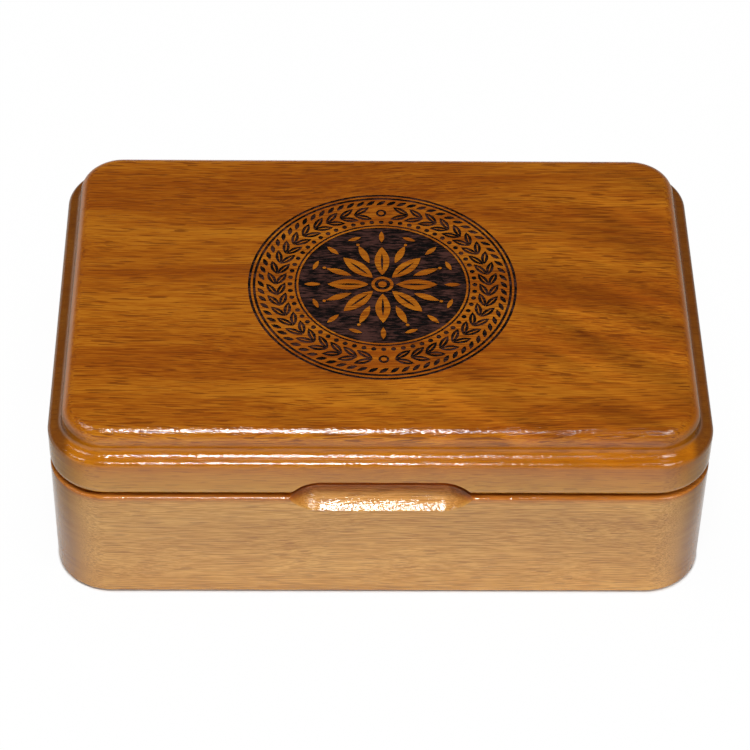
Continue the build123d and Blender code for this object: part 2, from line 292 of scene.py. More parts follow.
@dataclass(frozen=True)
class Hardwood:
    """Open-pored tropical hardwood, its grain along X, under clear gloss lacquer.

    Attributes:
        name: The material's name.
        shift: Which part of the log the piece is cut from.
        dark: Colour of the late wood.
        middle: Colour between the two.
        light: Colour of the early wood.
        pore: Colour of the open pores.
        painted_light_by_height: Painted light, reflection and shade by height, as (share of TOP_Z, colour)
            pairs.
        ripple: Strength of the ripple figure's painted chatoyant sheen, which shows at the front right.
        figure: Strength of the bands and growth layers.
        calm_z: Heights between which the figure grows from subdued to full.
        scoop_light: Painted light in the middle of the thumb scoop, which the lid's edge shades.
        scoop_end_shade: Painted shade on its two end faces, which turn away from the light.
        end_ledge_shade: Painted shade on the ledge beside the panel's short ends.
        end_grain_and_shade_tint: Tint of the end grain, which takes more stain; on the body it is deepened
            into painted shade on the short ends.
        pore_share: How far the pores take their own colour.
        drift: How far the grain wanders sideways.
        peel: Height of the lacquer's slow waves.
        pit_depth: How far the lacquer sinks over a pore.
        fibre_height: How far a fibre stands up.
        grit_height: Relief that breaks up the shine on the rounded edges.
        ledge_x: Where the ledge beside the panel's short ends begins.
        ledge_foot: Heights over which its painted shade begins.
        ledge_head: Heights over which it ends.
        scoop_front: Depths, as Y, over which the thumb scoop begins.
        scoop_back: Depths over which it ends.
        scoop_foot: Heights over which it begins.
        scoop_side: Distances from the middle over which it ends.
        scoop_shade_reach: Distances from the middle over which the painted shade comes in.
    """

    name: str
    shift: Triple
    dark: Colour
    middle: Colour
    light: Colour
    pore: Colour
    painted_light_by_height: tuple[tuple[float, Colour], ...]
    ripple: float
    figure: float = 1.0
    calm_z: Point = (-2.0, -1.0)
    scoop_light: Colour = WHITE
    scoop_end_shade: Colour = WHITE
    end_ledge_shade: Colour = (0.42, 0.4, 1.4)
    end_grain_and_shade_tint: Colour = (0.66, 0.7, 0.9)
    pore_share: float = 0.7
    drift: float = 16.0
    peel: float = 0.006
    pit_depth: float = 0.012
    fibre_height: float = 0.01
    grit_height: float = 0.085
    ledge_x: Point = (82.765, 85.44)
    ledge_foot: Point = (50.3, 51.4)
    ledge_head: Point = (53.0, 55.0)
    scoop_front: Point = (-60.4, -59.4)
    scoop_back: Point = (-52.0, -48.0)
    scoop_foot: Point = (32.0, 37.5)
    scoop_side: Point = (25.3, 27.57)
    scoop_shade_reach: Point = (16.125, 22.8)

    def material(self) -> bpy.types.Material:
        """Build the finish: bands, growth layers, fibres, open pores, ripple figure and lacquer, with painted
        light, shade and sheen.

        Returns:
            The material.
        """
        graph = Graph.of_new(self.name)
        place = graph.place()
        along = self._in_log(graph, place)
        bands = graph.grain(along * (0.006, 0.075, 0.075), 3.0, 0.6)
        layers = graph.grain(along * (0.02, 0.45, 0.45), 3.0, 0.6)
        fibres = graph.grain(along * (0.1, 4.2, 4.2), 2.0, 0.7)
        rings = graph.grain(along * (0.0, 0.05, 0.8), 2.0, 0.6)
        pit = graph.step(graph.grain(along * (0.14, 2.5, 2.5), 0.0), 0.62, 0.68)

        facing = graph.node("ShaderNodeTexCoord", output="Normal")
        facing = facing * facing
        endward, upward = graph.part(facing, 0), graph.part(facing, 2)
        end_grain = graph.step(endward, 0.06, 0.55) * (1.0 - graph.step(upward, 0.1, 0.4))
        height = graph.part(place, 2)
        calm = 0.4 + graph.step(height, *self.calm_z) * 0.6
        calm = calm * (1.0 - graph.step(endward, 0.02, 0.4) * 0.8)

        figure = ((bands - 0.5) * 1.1 + (layers - 0.5) * 0.36) * self.figure
        tone = 0.5 + (figure + (graph.step(fibres, 0.38, 0.62) - 0.5) * 0.26) * calm
        tone = tone + (rings - 0.5) * end_grain * 0.45
        colour = graph.ramp(tone, (0.28, self.dark), (0.5, self.middle), (0.72, self.light))
        # Painted light and shade by height: paler sides and slopes where light and the floor's reflection
        # fall, darker where the seam's shade falls.
        colour = colour * graph.ramp(height * (1 / TOP_Z), *self.painted_light_by_height)
        colour = graph.mix(pit * calm * self.pore_share, colour, self.pore)
        # End grain darker, partly because it takes more stain and, on the body, partly painted shade on the
        # short ends.
        colour = colour * graph.mix(end_grain, WHITE, self.end_grain_and_shade_tint)
        # Painted light in the middle of the thumb scoop, where the lid shades it, and painted shade on its
        # end faces.
        colour = colour * self._scoop_light_and_shade(graph, place)
        # Painted shade on the ledge and cove beside the panel's short ends.
        colour = colour * graph.mix(self._end_ledge_shade_mask(graph, place), WHITE, self.end_ledge_shade)
        # Painted chatoyant sheen of the ripple figure, towards the front right.
        colour = colour * (1.0 + self._painted_ripple_sheen(graph, place) * calm)

        lacquer = graph.grain(place * (0.35, 0.5, 0.5), 2.0)
        grit = graph.grain(place * (0.9, 2.5, 2.5), 1.0) - 0.5
        grit = grit * graph.between(upward, (0.03, 0.15), (0.93, 0.99))
        relief = lacquer * self.peel - pit * self.pit_depth + fibres * self.fibre_height
        relief = relief + grit * self.grit_height
        rough = 0.09 + pit * 0.08 + (lacquer - 0.5) * 0.08
        return graph.surface(colour, rough, relief, {"IOR": 1.5, "Specular IOR Level": 0.6})

    def _in_log(self, graph: Graph, place: Wire) -> Wire:
        """Where a surface point lies in the log, along grain that wanders a little.

        Args:
            graph: The finish's graph.
            place: The surface point.

        Returns:
            The place in the log.
        """
        log = place + self.shift
        wander = (graph.grain(log * (0.008, 0.03, 0.03), 1.5) - 0.5) * self.drift
        return log + graph.vector(0.0, wander, wander * 0.6)

    def _painted_ripple_sheen(self, graph: Graph, place: Wire) -> Wire:
        """The slanting ripple figure, with its chatoyant sheen painted in towards the front right.

        Args:
            graph: The finish's graph.
            place: The surface point.

        Returns:
            How much lighter or darker the wood is.
        """
        sheen_bands = (graph.grain(graph.turn(place, 32.0) * (0.016, 0.12, 0.05), 2.0) - 0.5) * self.ripple
        corner = graph.part(place, 0) - graph.part(place, 1) * 0.8
        return sheen_bands * graph.step(corner, -20.0, 70.0)

    def _end_ledge_shade_mask(self, graph: Graph, place: Wire) -> Wire:
        """How far the ledge beside the raised panel's short ends takes its painted shade.

        Args:
            graph: The finish's graph.
            place: The surface point.

        Returns:
            The share, 0 to 1.
        """
        ends = graph.out_from(graph.part(place, 0), self.ledge_x)
        return ends * graph.between(graph.part(place, 2), self.ledge_foot, self.ledge_head)

    def _scoop_light_and_shade(self, graph: Graph, place: Wire) -> Wire:
        """The tint inside the thumb scoop: painted light in its shaded middle, painted shade on its end
        faces.

        Args:
            graph: The finish's graph.
            place: The surface point.

        Returns:
            The colour to multiply by, white outside the scoop.
        """
        x, y, z = (graph.part(place, axis) for axis in range(3))
        inside = graph.between(y, self.scoop_front, self.scoop_back) * graph.step(z, *self.scoop_foot)
        inside = inside * (1.0 - graph.out_from(x, self.scoop_side))
        tint = graph.mix(graph.out_from(x, self.scoop_shade_reach), self.scoop_light, self.scoop_end_shade)
        return graph.mix(inside, WHITE, tint)


@dataclass(frozen=True)
class BurntWood:
    """The floor and walls of the engraving: charred, in fine passes along X, lacquered over."""

    name: str
    char: Colour
    brown: Colour
    pass_pitch: float = 0.55

    def material(self) -> bpy.types.Material:
        """Build the finish: char, brown ash in patches, and the ridges between the passes.

        Returns:
            The material.
        """
        graph = Graph.of_new(self.name)
        place = graph.place()
        streak = graph.grain(place * (0.35, 1 / self.pass_pitch, 1.0), 2.0, 0.6)
        patch = graph.grain(place * (0.12, 0.3, 0.3), 2.0)
        ash = graph.step(streak * 0.6 + patch * 0.4, 0.44, 0.62)
        speck = graph.step(graph.grain(place * (1.1, 2.4, 2.4), 1.0), 0.6, 0.72)
        colour = graph.mix(ash, self.char, self.brown)
        height = streak * 0.09 + speck * 0.03
        return graph.surface(colour, 0.5 - speck * 0.25, height, {"Specular IOR Level": 0.2})


@dataclass(frozen=True)
class Velvet:
    """Short-pile cloth, brushed in soft patches, with painted shade below the heights of hollow_z."""

    name: str
    dark: Colour
    light: Colour
    sheen: float = 0.5
    hollow_z: Point = (25.0, 32.0)

    def material(self) -> bpy.types.Material:
        """Build the finish: brushed patches, the pile's own points, a sheen and painted shade low in the
        hollow.

        Returns:
            The material.
        """
        graph = Graph.of_new(self.name)
        place = graph.place()
        brushed = graph.grain(graph.turn(place, 24.0) * (0.035, 0.09, 0.06), 3.0, 0.6)
        pile = graph.grain(place * (4.2, 4.2, 4.2), 2.0, 0.7)
        tone = graph.step(brushed * 0.55 + pile * 0.45, 0.3, 0.72)
        # Painted shade: darker low in the recess and round the cushion's edges.
        depth = graph.step(graph.part(place, 2), *self.hollow_z)
        colour = graph.mix(tone, self.dark, self.light) * (0.3 + depth * 0.8)
        height = pile * 0.12 + brushed * 0.15
        fixed = {"Sheen Weight": self.sheen, "Sheen Roughness": 0.35, "Sheen Tint": (0.55, 0.62, 1.0)}
        return graph.surface(colour, 0.8 + pile * 0.15, height, {**fixed, "Specular IOR Level": 0.2}, 0.7)


@dataclass(frozen=True)
class Satin:
    """Close-woven satin, its long floats turned from X by float_turn degrees."""

    name: str
    dark: Colour
    light: Colour
    thread: float
    float_turn: float = 0.0

    def material(self) -> bpy.types.Material:
        """Build the finish: floats, the odd slub and slow changes of shade.

        Returns:
            The material.
        """
        graph = Graph.of_new(self.name)
        place = graph.turn(graph.place(), self.float_turn)
        floats = graph.grain(place * (0.5, 1 / self.thread, 1 / self.thread), 2.0, 0.6)
        slub = graph.step(graph.grain(place * (0.12, 1.6, 1.6), 1.0), 0.62, 0.75)
        shade = graph.grain(place * (0.03, 0.05, 0.05), 2.0)
        tone = graph.step(floats * 0.7 + shade * 0.3, 0.3, 0.7)
        colour = graph.mix(slub * 0.35, graph.mix(tone, self.dark, self.light), self.light)
        height = floats * 0.05 + slub * 0.03
        fixed = {"Sheen Weight": 0.3, "Sheen Roughness": 0.3, "Specular IOR Level": 0.6}
        return graph.surface(colour, 0.26 + floats * 0.16, height, fixed, 0.8)


@dataclass(frozen=True)
class Fleece:
    """Matted short fibres: pressed felt, or the cut skin of a foam block."""

    name: str
    dark: Colour
    light: Colour
    fibre: float

    def material(self) -> bpy.types.Material:
        """Build the finish: crossing fibres, small clumps and a dusty sheen.

        Returns:
            The material.
        """
        graph = Graph.of_new(self.name)
        place = graph.place()
        spacing = (0.6 / self.fibre, 3 / self.fibre, 3 / self.fibre)
        one_way, other_way = (graph.grain(graph.turn(place, lie) * spacing, 2.0) for lie in (35.0, -50.0))
        clump = graph.grain(place * (0.5, 0.5, 0.5), 2.0)
        tone = graph.step(one_way * 0.4 + other_way * 0.4 + clump * 0.2, 0.4, 0.62)
        colour = graph.mix(tone, self.dark, self.light)
        height = (one_way + other_way) * 0.1 * self.fibre + clump * 0.1
        fixed = {"Sheen Weight": 0.25, "Specular IOR Level": 0.2}
        return graph.surface(colour, 0.86 + clump * 0.1, height, fixed)


@dataclass(frozen=True)
class Card:
    """Grey-brown mottled pulp board with dark flecks."""

    name: str
    dark: Colour
    light: Colour

    def material(self) -> bpy.types.Material:
        """Build the finish: pulp mottle, long flecks and a dry surface.

        Returns:
            The material.
        """
        graph = Graph.of_new(self.name)
        place = graph.place()
        mottle = graph.grain(place * (0.4, 0.5, 0.5), 4.0, 0.6)
        fleck = graph.step(graph.grain(graph.turn(place, 20.0) * (0.5, 2.6, 2.6), 1.0), 0.6, 0.72)
        colour = graph.mix(graph.step(mottle, 0.35, 0.65), self.dark, self.light)
        colour = graph.mix(fleck * 0.4, colour, self.dark)
        height = mottle * 0.05 - fleck * 0.02
        return graph.surface(colour, 0.75 + mottle * 0.2, height, {"Specular IOR Level": 0.3})


@dataclass(frozen=True)
class Metal:
    """Drawn, brushed or plated metal with hairlines, handling marks and tarnish."""

    name: str
    clean: Colour
    tarnish: Colour
    polish: float
    brush: Triple = (0.3, 5.0, 5.0)

    def material(self) -> bpy.types.Material:
        """Build the finish: brushed hairlines, tarnish in patches and fine scratches.

        Returns:
            The material.
        """
        graph = Graph.of_new(self.name)
        place = graph.place()
        hair = graph.grain(place * self.brush, 3.0, 0.6)
        patch = graph.grain(place * (0.35, 0.4, 0.4), 3.0, 0.6)
        scratch = graph.step(graph.grain(graph.turn(place, 40.0) * (0.5, 9.0, 9.0), 1.0), 0.66, 0.72)
        colour = graph.mix(graph.step(patch, 0.46, 0.7) * 0.7, self.clean, self.tarnish)
        rough = self.polish + patch * 0.16 + hair * 0.1
        return graph.surface(colour, rough, hair * 0.006 - scratch * 0.004, {"Metallic": 1.0})


LID_WOOD = Hardwood(
    "lid_hardwood", (310.0, 46.0, 90.0),
    (0.225, 0.048, 0.0025), (0.33, 0.09, 0.0045), (0.44, 0.15, 0.009), (0.14, 0.03, 0.002),
    # Painted light and reflection by height: the lid's side, ledge and panel slope lighter and paler, where
    # the floor's reflection and the front light fall; the top stays plain.
    (
        (0.65, (1.8, 2.8, 6.4)), (0.71, (1.46, 2.25, 5.0)), (0.78, (1.44, 2.05, 4.2)),
        (0.84, (1.36, 1.6, 1.0)), (0.955, (1.24, 1.32, 0.7)), (0.985, WHITE),
    ),
    1.25, calm_z=(53.5, 58.0),
)
BODY_WOOD = Hardwood(
    "body_hardwood", (-140.0, 210.0, 35.0),
    (0.32, 0.115, 0.014), (0.47, 0.20, 0.03), (0.60, 0.29, 0.055), (0.24, 0.09, 0.02),
    # Painted light and reflection by height: the body's sides lighter and paler; then a darker, redder
    # painted shade at the seam, under the lid's edge.
    (
        (0.0, (1.24, 1.38, 2.0)), (0.5, (1.21, 1.41, 2.15)), (0.612, (1.2, 1.36, 1.9)),
        (0.635, (1.02, 0.8, 0.68)), (0.66, (0.86, 0.62, 0.46)),
    ),
    # The scoop's painted light and end shade, and the end grain deepened by painted shade.
    0.3, 0.45, scoop_light=(1.4, 1.42, 2.0), scoop_end_shade=(0.78, 0.62, 0.45), end_grain_and_shade_tint=(0.55, 0.46, 0.31),
    pore_share=0.4,
)
BURNT = BurntWood("burnt_wood", (0.002, 0.001, 0.001), (0.058, 0.022, 0.017))
VELVET = Velvet("blue_velvet", (0.010, 0.014, 0.05), (0.034, 0.046, 0.135))
PIPING = Velvet("blue_piping", (0.010, 0.014, 0.045), (0.06, 0.075, 0.2), 0.4, (-2.0, -1.0))
CHAMPAGNE = Satin("champagne_satin", (0.60, 0.45, 0.24), (0.78, 0.62, 0.38), 0.22)
GOLD_CORD = Satin("gold_cord", (0.52, 0.36, 0.13), (0.80, 0.62, 0.30), 0.25, 40.0)
GOLD_RIBBON = Satin("gold_ribbon", (0.42, 0.27, 0.07), (0.62, 0.44, 0.17), 0.3, 90.0)
FELT = Fleece("dark_felt", (0.016, 0.012, 0.010), (0.07, 0.055, 0.045), 0.6)
FOAM = Fleece("grey_foam", (0.08, 0.08, 0.085), (0.17, 0.17, 0.18), 0.4)
CARD = Card("pulp_board", (0.22, 0.165, 0.11), (0.40, 0.32, 0.22))
HINGE_BRASS = Metal("satin_brass", (0.75, 0.53, 0.22), (0.42, 0.26, 0.09), 0.26)
PIN_BRASS = Metal("drawn_brass", (0.72, 0.5, 0.2), (0.4, 0.24, 0.08), 0.2)
SCREW_BRASS = Metal("screw_brass", (0.34, 0.24, 0.11), (0.13, 0.08, 0.04), 0.3, (4.0, 4.0, 0.5))
NICKEL = Metal("nickel_plate", (0.62, 0.61, 0.58), (0.36, 0.35, 0.33), 0.14, (3.0, 3.0, 3.0))


# ---- Mesh tools ------------------------------------------------------------------------------


@dataclass(frozen=True)
class Outline:
    """A rounded rectangle round the Z axis."""

    half_x: float
    half_y: float
    corner: float
    steps: int = 24
    least_r: float = 0.02

    def _core(self, inset: float) -> Triple:
        """The half sizes between the corners' centres, and the corner radius, stepped in by inset."""
        radius = max(self.corner - inset, self.least_r)
        return self.half_x - inset - radius, self.half_y - inset - radius, radius

    def ring(self, inset: float, z: float) -> list[Vector]:
        """Points round the outline, stepped in by inset, at one height.

        Args:
            inset: How far in from the outline.
            z: The height.

        Returns:
            The points, anticlockwise from the +X side.
        """
        core_x, core_y, radius = self._core(inset)
        points = []
        for quarter, (side_x, side_y) in enumerate(((1, 1), (-1, 1), (-1, -1), (1, -1))):
            for step in range(self.steps + 1):
                angle = math.pi / 2 * (quarter + step / self.steps)
                x = side_x * core_x + radius * math.cos(angle)
                y = side_y * core_y + radius * math.sin(angle)
                points.append(Vector((x, y, z)))
        return points

    def held(self, point: Vector, inset: float) -> Vector:
        """Hold a point inside the outline.

        Args:
            point: The point.
            inset: How far in from the outline it must stay.

        Returns:
            The nearest place that is allowed.
        """
        core_x, core_y, radius = self._core(inset)
        x, y = max(-core_x, min(core_x, point.x)), max(-core_y, min(core_y, point.y))
        core = Vector((x, y, point.z))
        out = point - core
        if out.length > radius:
            out = out * (radius / out.length)
        return core + out


def oval(radius_x: float, radius_y: float, steps: int) -> list[Point]:
    """Points round an oval at the origin, anticlockwise from the +X side.

    Args:
        radius_x: Its half width.
        radius_y: Its half depth.
        steps: Number of points.

    Returns:
        The points.
    """
    angles = [2 * math.pi * step / steps for step in range(steps)]
    return [(radius_x * math.cos(angle), radius_y * math.sin(angle)) for angle in angles]


def arc(inset: float, z: float, radius: float, start: float, end: float, steps: int) -> list[Point]:
    """A rounded stretch of an edge profile.

    Args:
        inset: Inset of the arc's centre from the outline.
        z: Height of the centre.
        radius: Radius.
        start: First angle in degrees; 0 points outwards and 90 up.
        end: Last angle in degrees.
        steps: Number of steps.

    Returns:
        (inset, z) pairs.
    """
    pairs = []
    for step in range(steps + 1):
        angle = math.radians(start + (end - start) * step / steps)
        pairs.append((inset - radius * math.cos(angle), z + radius * math.sin(angle)))
    return pairs


def loft(bm: bmesh.types.BMesh, rings: Rings, closed: bool = False) -> list[list[bmesh.types.BMVert]]:
    """Skin a series of rings that have the same number of points.

    Args:
        bm: The mesh in hand.
        rings: The rings, in order.
        closed: Whether the last ring joins the first again.

    Returns:
        The vertices of each ring.
    """
    rows = [[bm.verts.new(point) for point in ring] for ring in rings]
    count = len(rows[0])
    pairs = list(zip(rows, rows[1:]))
    if closed:
        pairs.append((rows[-1], rows[0]))
    for lower, upper in pairs:
        for i in range(count):
            j = (i + 1) % count
            bm.faces.new((lower[i], lower[j], upper[j], upper[i]))
    return rows


def loft_solid(bm: bmesh.types.BMesh, rings: Rings) -> None:
    """Skin a series of rings and close the first and the last one flat.

    Args:
        bm: The mesh in hand.
        rings: The rings, in order.
    """
    rows = loft(bm, rings)
    bm.faces.new(rows[0])
    bm.faces.new(rows[-1])


def to_object(bm: bmesh.types.BMesh, name: str, smooth_below: float = 30.0) -> bpy.types.Object:
    """Write a mesh in millimetres out as an object in metres, smooth up to an angle.

    Args:
        bm: The mesh; it is freed.
        name: The object's name.
        smooth_below: Edges sharper than this angle, in degrees, stay sharp.

    Returns:
        The object, linked to the scene.
    """
    bmesh.ops.remove_doubles(bm, verts=bm.verts, dist=1e-5)
    bmesh.ops.recalc_face_normals(bm, faces=bm.faces)
    bmesh.ops.scale(bm, vec=(MM, MM, MM), verts=bm.verts)
    mesh = bpy.data.meshes.new(name)
    bm.to_mesh(mesh)
    bm.free()
    made = bpy.data.objects.new(name, mesh)
    bpy.context.scene.collection.objects.link(made)
    shade(mesh, smooth_below)
    return made


def lofted(name: str, rings: Rings, smooth_below: float = 30.0) -> bpy.types.Object:
    """A solid through a series of rings, closed flat at both ends.

    Args:
        name: The object's name.
        rings: The rings, in order.
        smooth_below: Edges sharper than this angle, in degrees, stay sharp.

    Returns:
        The object.
    """
    bm = bmesh.new()
    loft_solid(bm, rings)
    return to_object(bm, name, smooth_below)


def shade(mesh: bpy.types.Mesh, smooth_below: float) -> None:
    """Shade a mesh smooth, with sharp edges above an angle in degrees."""
    mesh.polygons.foreach_set("use_smooth", [True] * len(mesh.polygons))
    mesh.set_sharp_from_angle(angle=math.radians(smooth_below))


def bake_modifiers(piece: bpy.types.Object) -> None:
    """Make an object's modifiers part of its mesh.

    Args:
        piece: The object.
    """
    depsgraph = bpy.context.evaluated_depsgraph_get()
    mesh = bpy.data.meshes.new_from_object(piece.evaluated_get(depsgraph))
    piece.modifiers.clear()
    piece.data = mesh


def cut(piece: bpy.types.Object, cutters: Iterable[bpy.types.Object]) -> None:
    """Subtract solids from a piece and remove them.

    Args:
        piece: The object that is cut.
        cutters: The solids.
    """
    used = list(cutters)
    for cutter in used:
        modifier = piece.modifiers.new(cutter.name, "BOOLEAN")
        modifier.operation = "DIFFERENCE"
        modifier.solver = "EXACT"
        modifier.object = cutter
    bake_modifiers(piece)
    for cutter in used:
        bpy.data.objects.remove(cutter)


def revolved(name: str, places: Iterable[Vector], axis: Vector, profile: Sequence[Point]) -> bpy.types.Object:
    """Solids of revolution round parallel axes.

    Args:
        name: The object's name.
        places: Where each solid's profile starts.
        axis: Direction of the axis.
        profile: (distance along the axis, radius) pairs; the ends are closed flat.

    Returns:
        One object with a shell for each place.
    """
    bm = bmesh.new()
    turn = axis.to_track_quat("Z", "Y").to_matrix()
    steps = 144
    for place in places:
        rings = []
        for along, radius in profile:
            rings.append([place + turn @ Vector((x, y, along)) for x, y in oval(radius, radius, steps)])
        loft_solid(bm, rings)
    return to_object(bm, name)


def prism(name: str, section: Sequence[Vector], depth: Vector) -> bpy.types.Object:
    """A prism: a flat section drawn out along a vector."""
    return lofted(name, [section, [point + depth for point in section]])


def tube(name: str, path: Sequence[Vector], radius: float, steps: int = 10) -> bpy.types.Object:
    """A round cord of one thickness along a path that closes on itself.

    Args:
        name: The object's name.
        path: Points along the middle.
        radius: The cord's radius.
        steps: Points round the cord.

    Returns:
        The cord as a mesh object.
    """
    rings = []
    for i, point in enumerate(path):
        forward = (path[(i + 1) % len(path)] - path[i - 1]).normalized()
        side = forward.cross(Vector((0, 0, 1))).normalized()
        up = side.cross(forward)
        rings.append([point + side * out + up * rise for out, rise in oval(radius, radius, steps)])
    bm = bmesh.new()
    loft(bm, rings, closed=True)
    return to_object(bm, name, 60.0)


def evenly(line: Sequence[Vector], pitch: float) -> list[Vector]:
    """Points at an even pitch along a closed line.

    Args:
        line: The line's own points.
        pitch: About how far apart the new points are.

    Returns:
        The new points.
    """
    corners = list(line) + [line[0]]
    spans = [(b - a).length for a, b in zip(corners, corners[1:])]
    total = sum(spans)
    count = round(total / pitch)
    points = []
    index, passed = 0, 0.0
    for step in range(count):
        wanted = total * step / count
        while passed + spans[index] < wanted:
            passed += spans[index]
            index += 1
        share = (wanted - passed) / spans[index]
        points.append(corners[index].lerp(corners[index + 1], share))
    return points


def top_of(piece: bpy.types.Object, x: float, y: float) -> float:
    """Height of a piece's upper surface under a point, in millimetres, or 0 beside it."""
    hit, where, _, _ = piece.ray_cast(Vector((x, y, TOP_Z)) * MM, Vector((0, 0, -1)))
    return where.z / MM if hit else 0.0


def box_mm(node: str) -> tuple[Vector, Vector]:
    """A CAD node's lowest and highest corner, in millimetres."""
    low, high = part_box(node)
    return low / MM, high / MM


def dress(piece: bpy.types.Object, *finishes: bpy.types.Material) -> None:
    """Give a new piece its materials, in slot order."""
    for finish in finishes:
        piece.data.materials.append(finish)


def hand_over(piece: bpy.types.Object, body: Body, slot: str, *nodes: str) -> None:
    """Hang a new piece on the body that it moves with, and hide the CAD nodes that it stands for.

    Args:
        piece: The piece.
        body: The body that it moves with.
        slot: A material slot's name; not used.
        nodes: The CAD nodes that it replaces.
    """
    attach(piece, body.value)
    if nodes:
        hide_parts(*nodes)
    LOG.info("%s rides on %s", piece.name, body.value)


def dress_node(name: str, finish: bpy.types.Material) -> None:
    """Give a CAD node that stays in view its finish.

    Args:
        name: The node.
        finish: Its material.
    """
    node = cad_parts[name]
    node.data.materials.clear()
    node.data.materials.append(finish)
    LOG.info("%s is the CAD node, dressed in %s", name, finish.name)


# ---- Round engraving -------------------------------------------------------------------------


@dataclass(frozen=True)
class Leaf:
    """A pointed leaf of the round ornament.

    Attributes:
        length: Tip to tip.
        width: Across its middle.
        radius: Distance of its middle from the ornament's centre.
        tilt: Turn of its long axis from the tangent, in degrees.
        steps: Points along each side.
        taper: Power of its swell: under 1 is blunter, over 1 sharper.
    """

    length: float
    width: float
    radius: float
    tilt: float = 90.0
    steps: int = 8
    taper: float = 0.85

    def outline(self, angle: float) -> list[Point]:
        """Draw the leaf where it stands.

        Args:
            angle: Direction of its middle from the ornament's centre, in radians.

        Returns:
            Its outline.
        """
        middle = Vector((self.radius * math.cos(angle), self.radius * math.sin(angle)))
        heading = angle + math.pi / 2 + math.radians(self.tilt)
        forward = Vector((math.cos(heading), math.sin(heading)))
        aside = Vector((-forward.y, forward.x))
        points = []
        for side in (1, -1):
            for step in range(self.steps):
                share = step / self.steps
                along = (0.5 - share) * self.length * side
                swell = math.sin(math.pi * share) ** self.taper * self.width / 2 * side
                points.append(tuple(middle + forward * along + aside * swell))
        return points


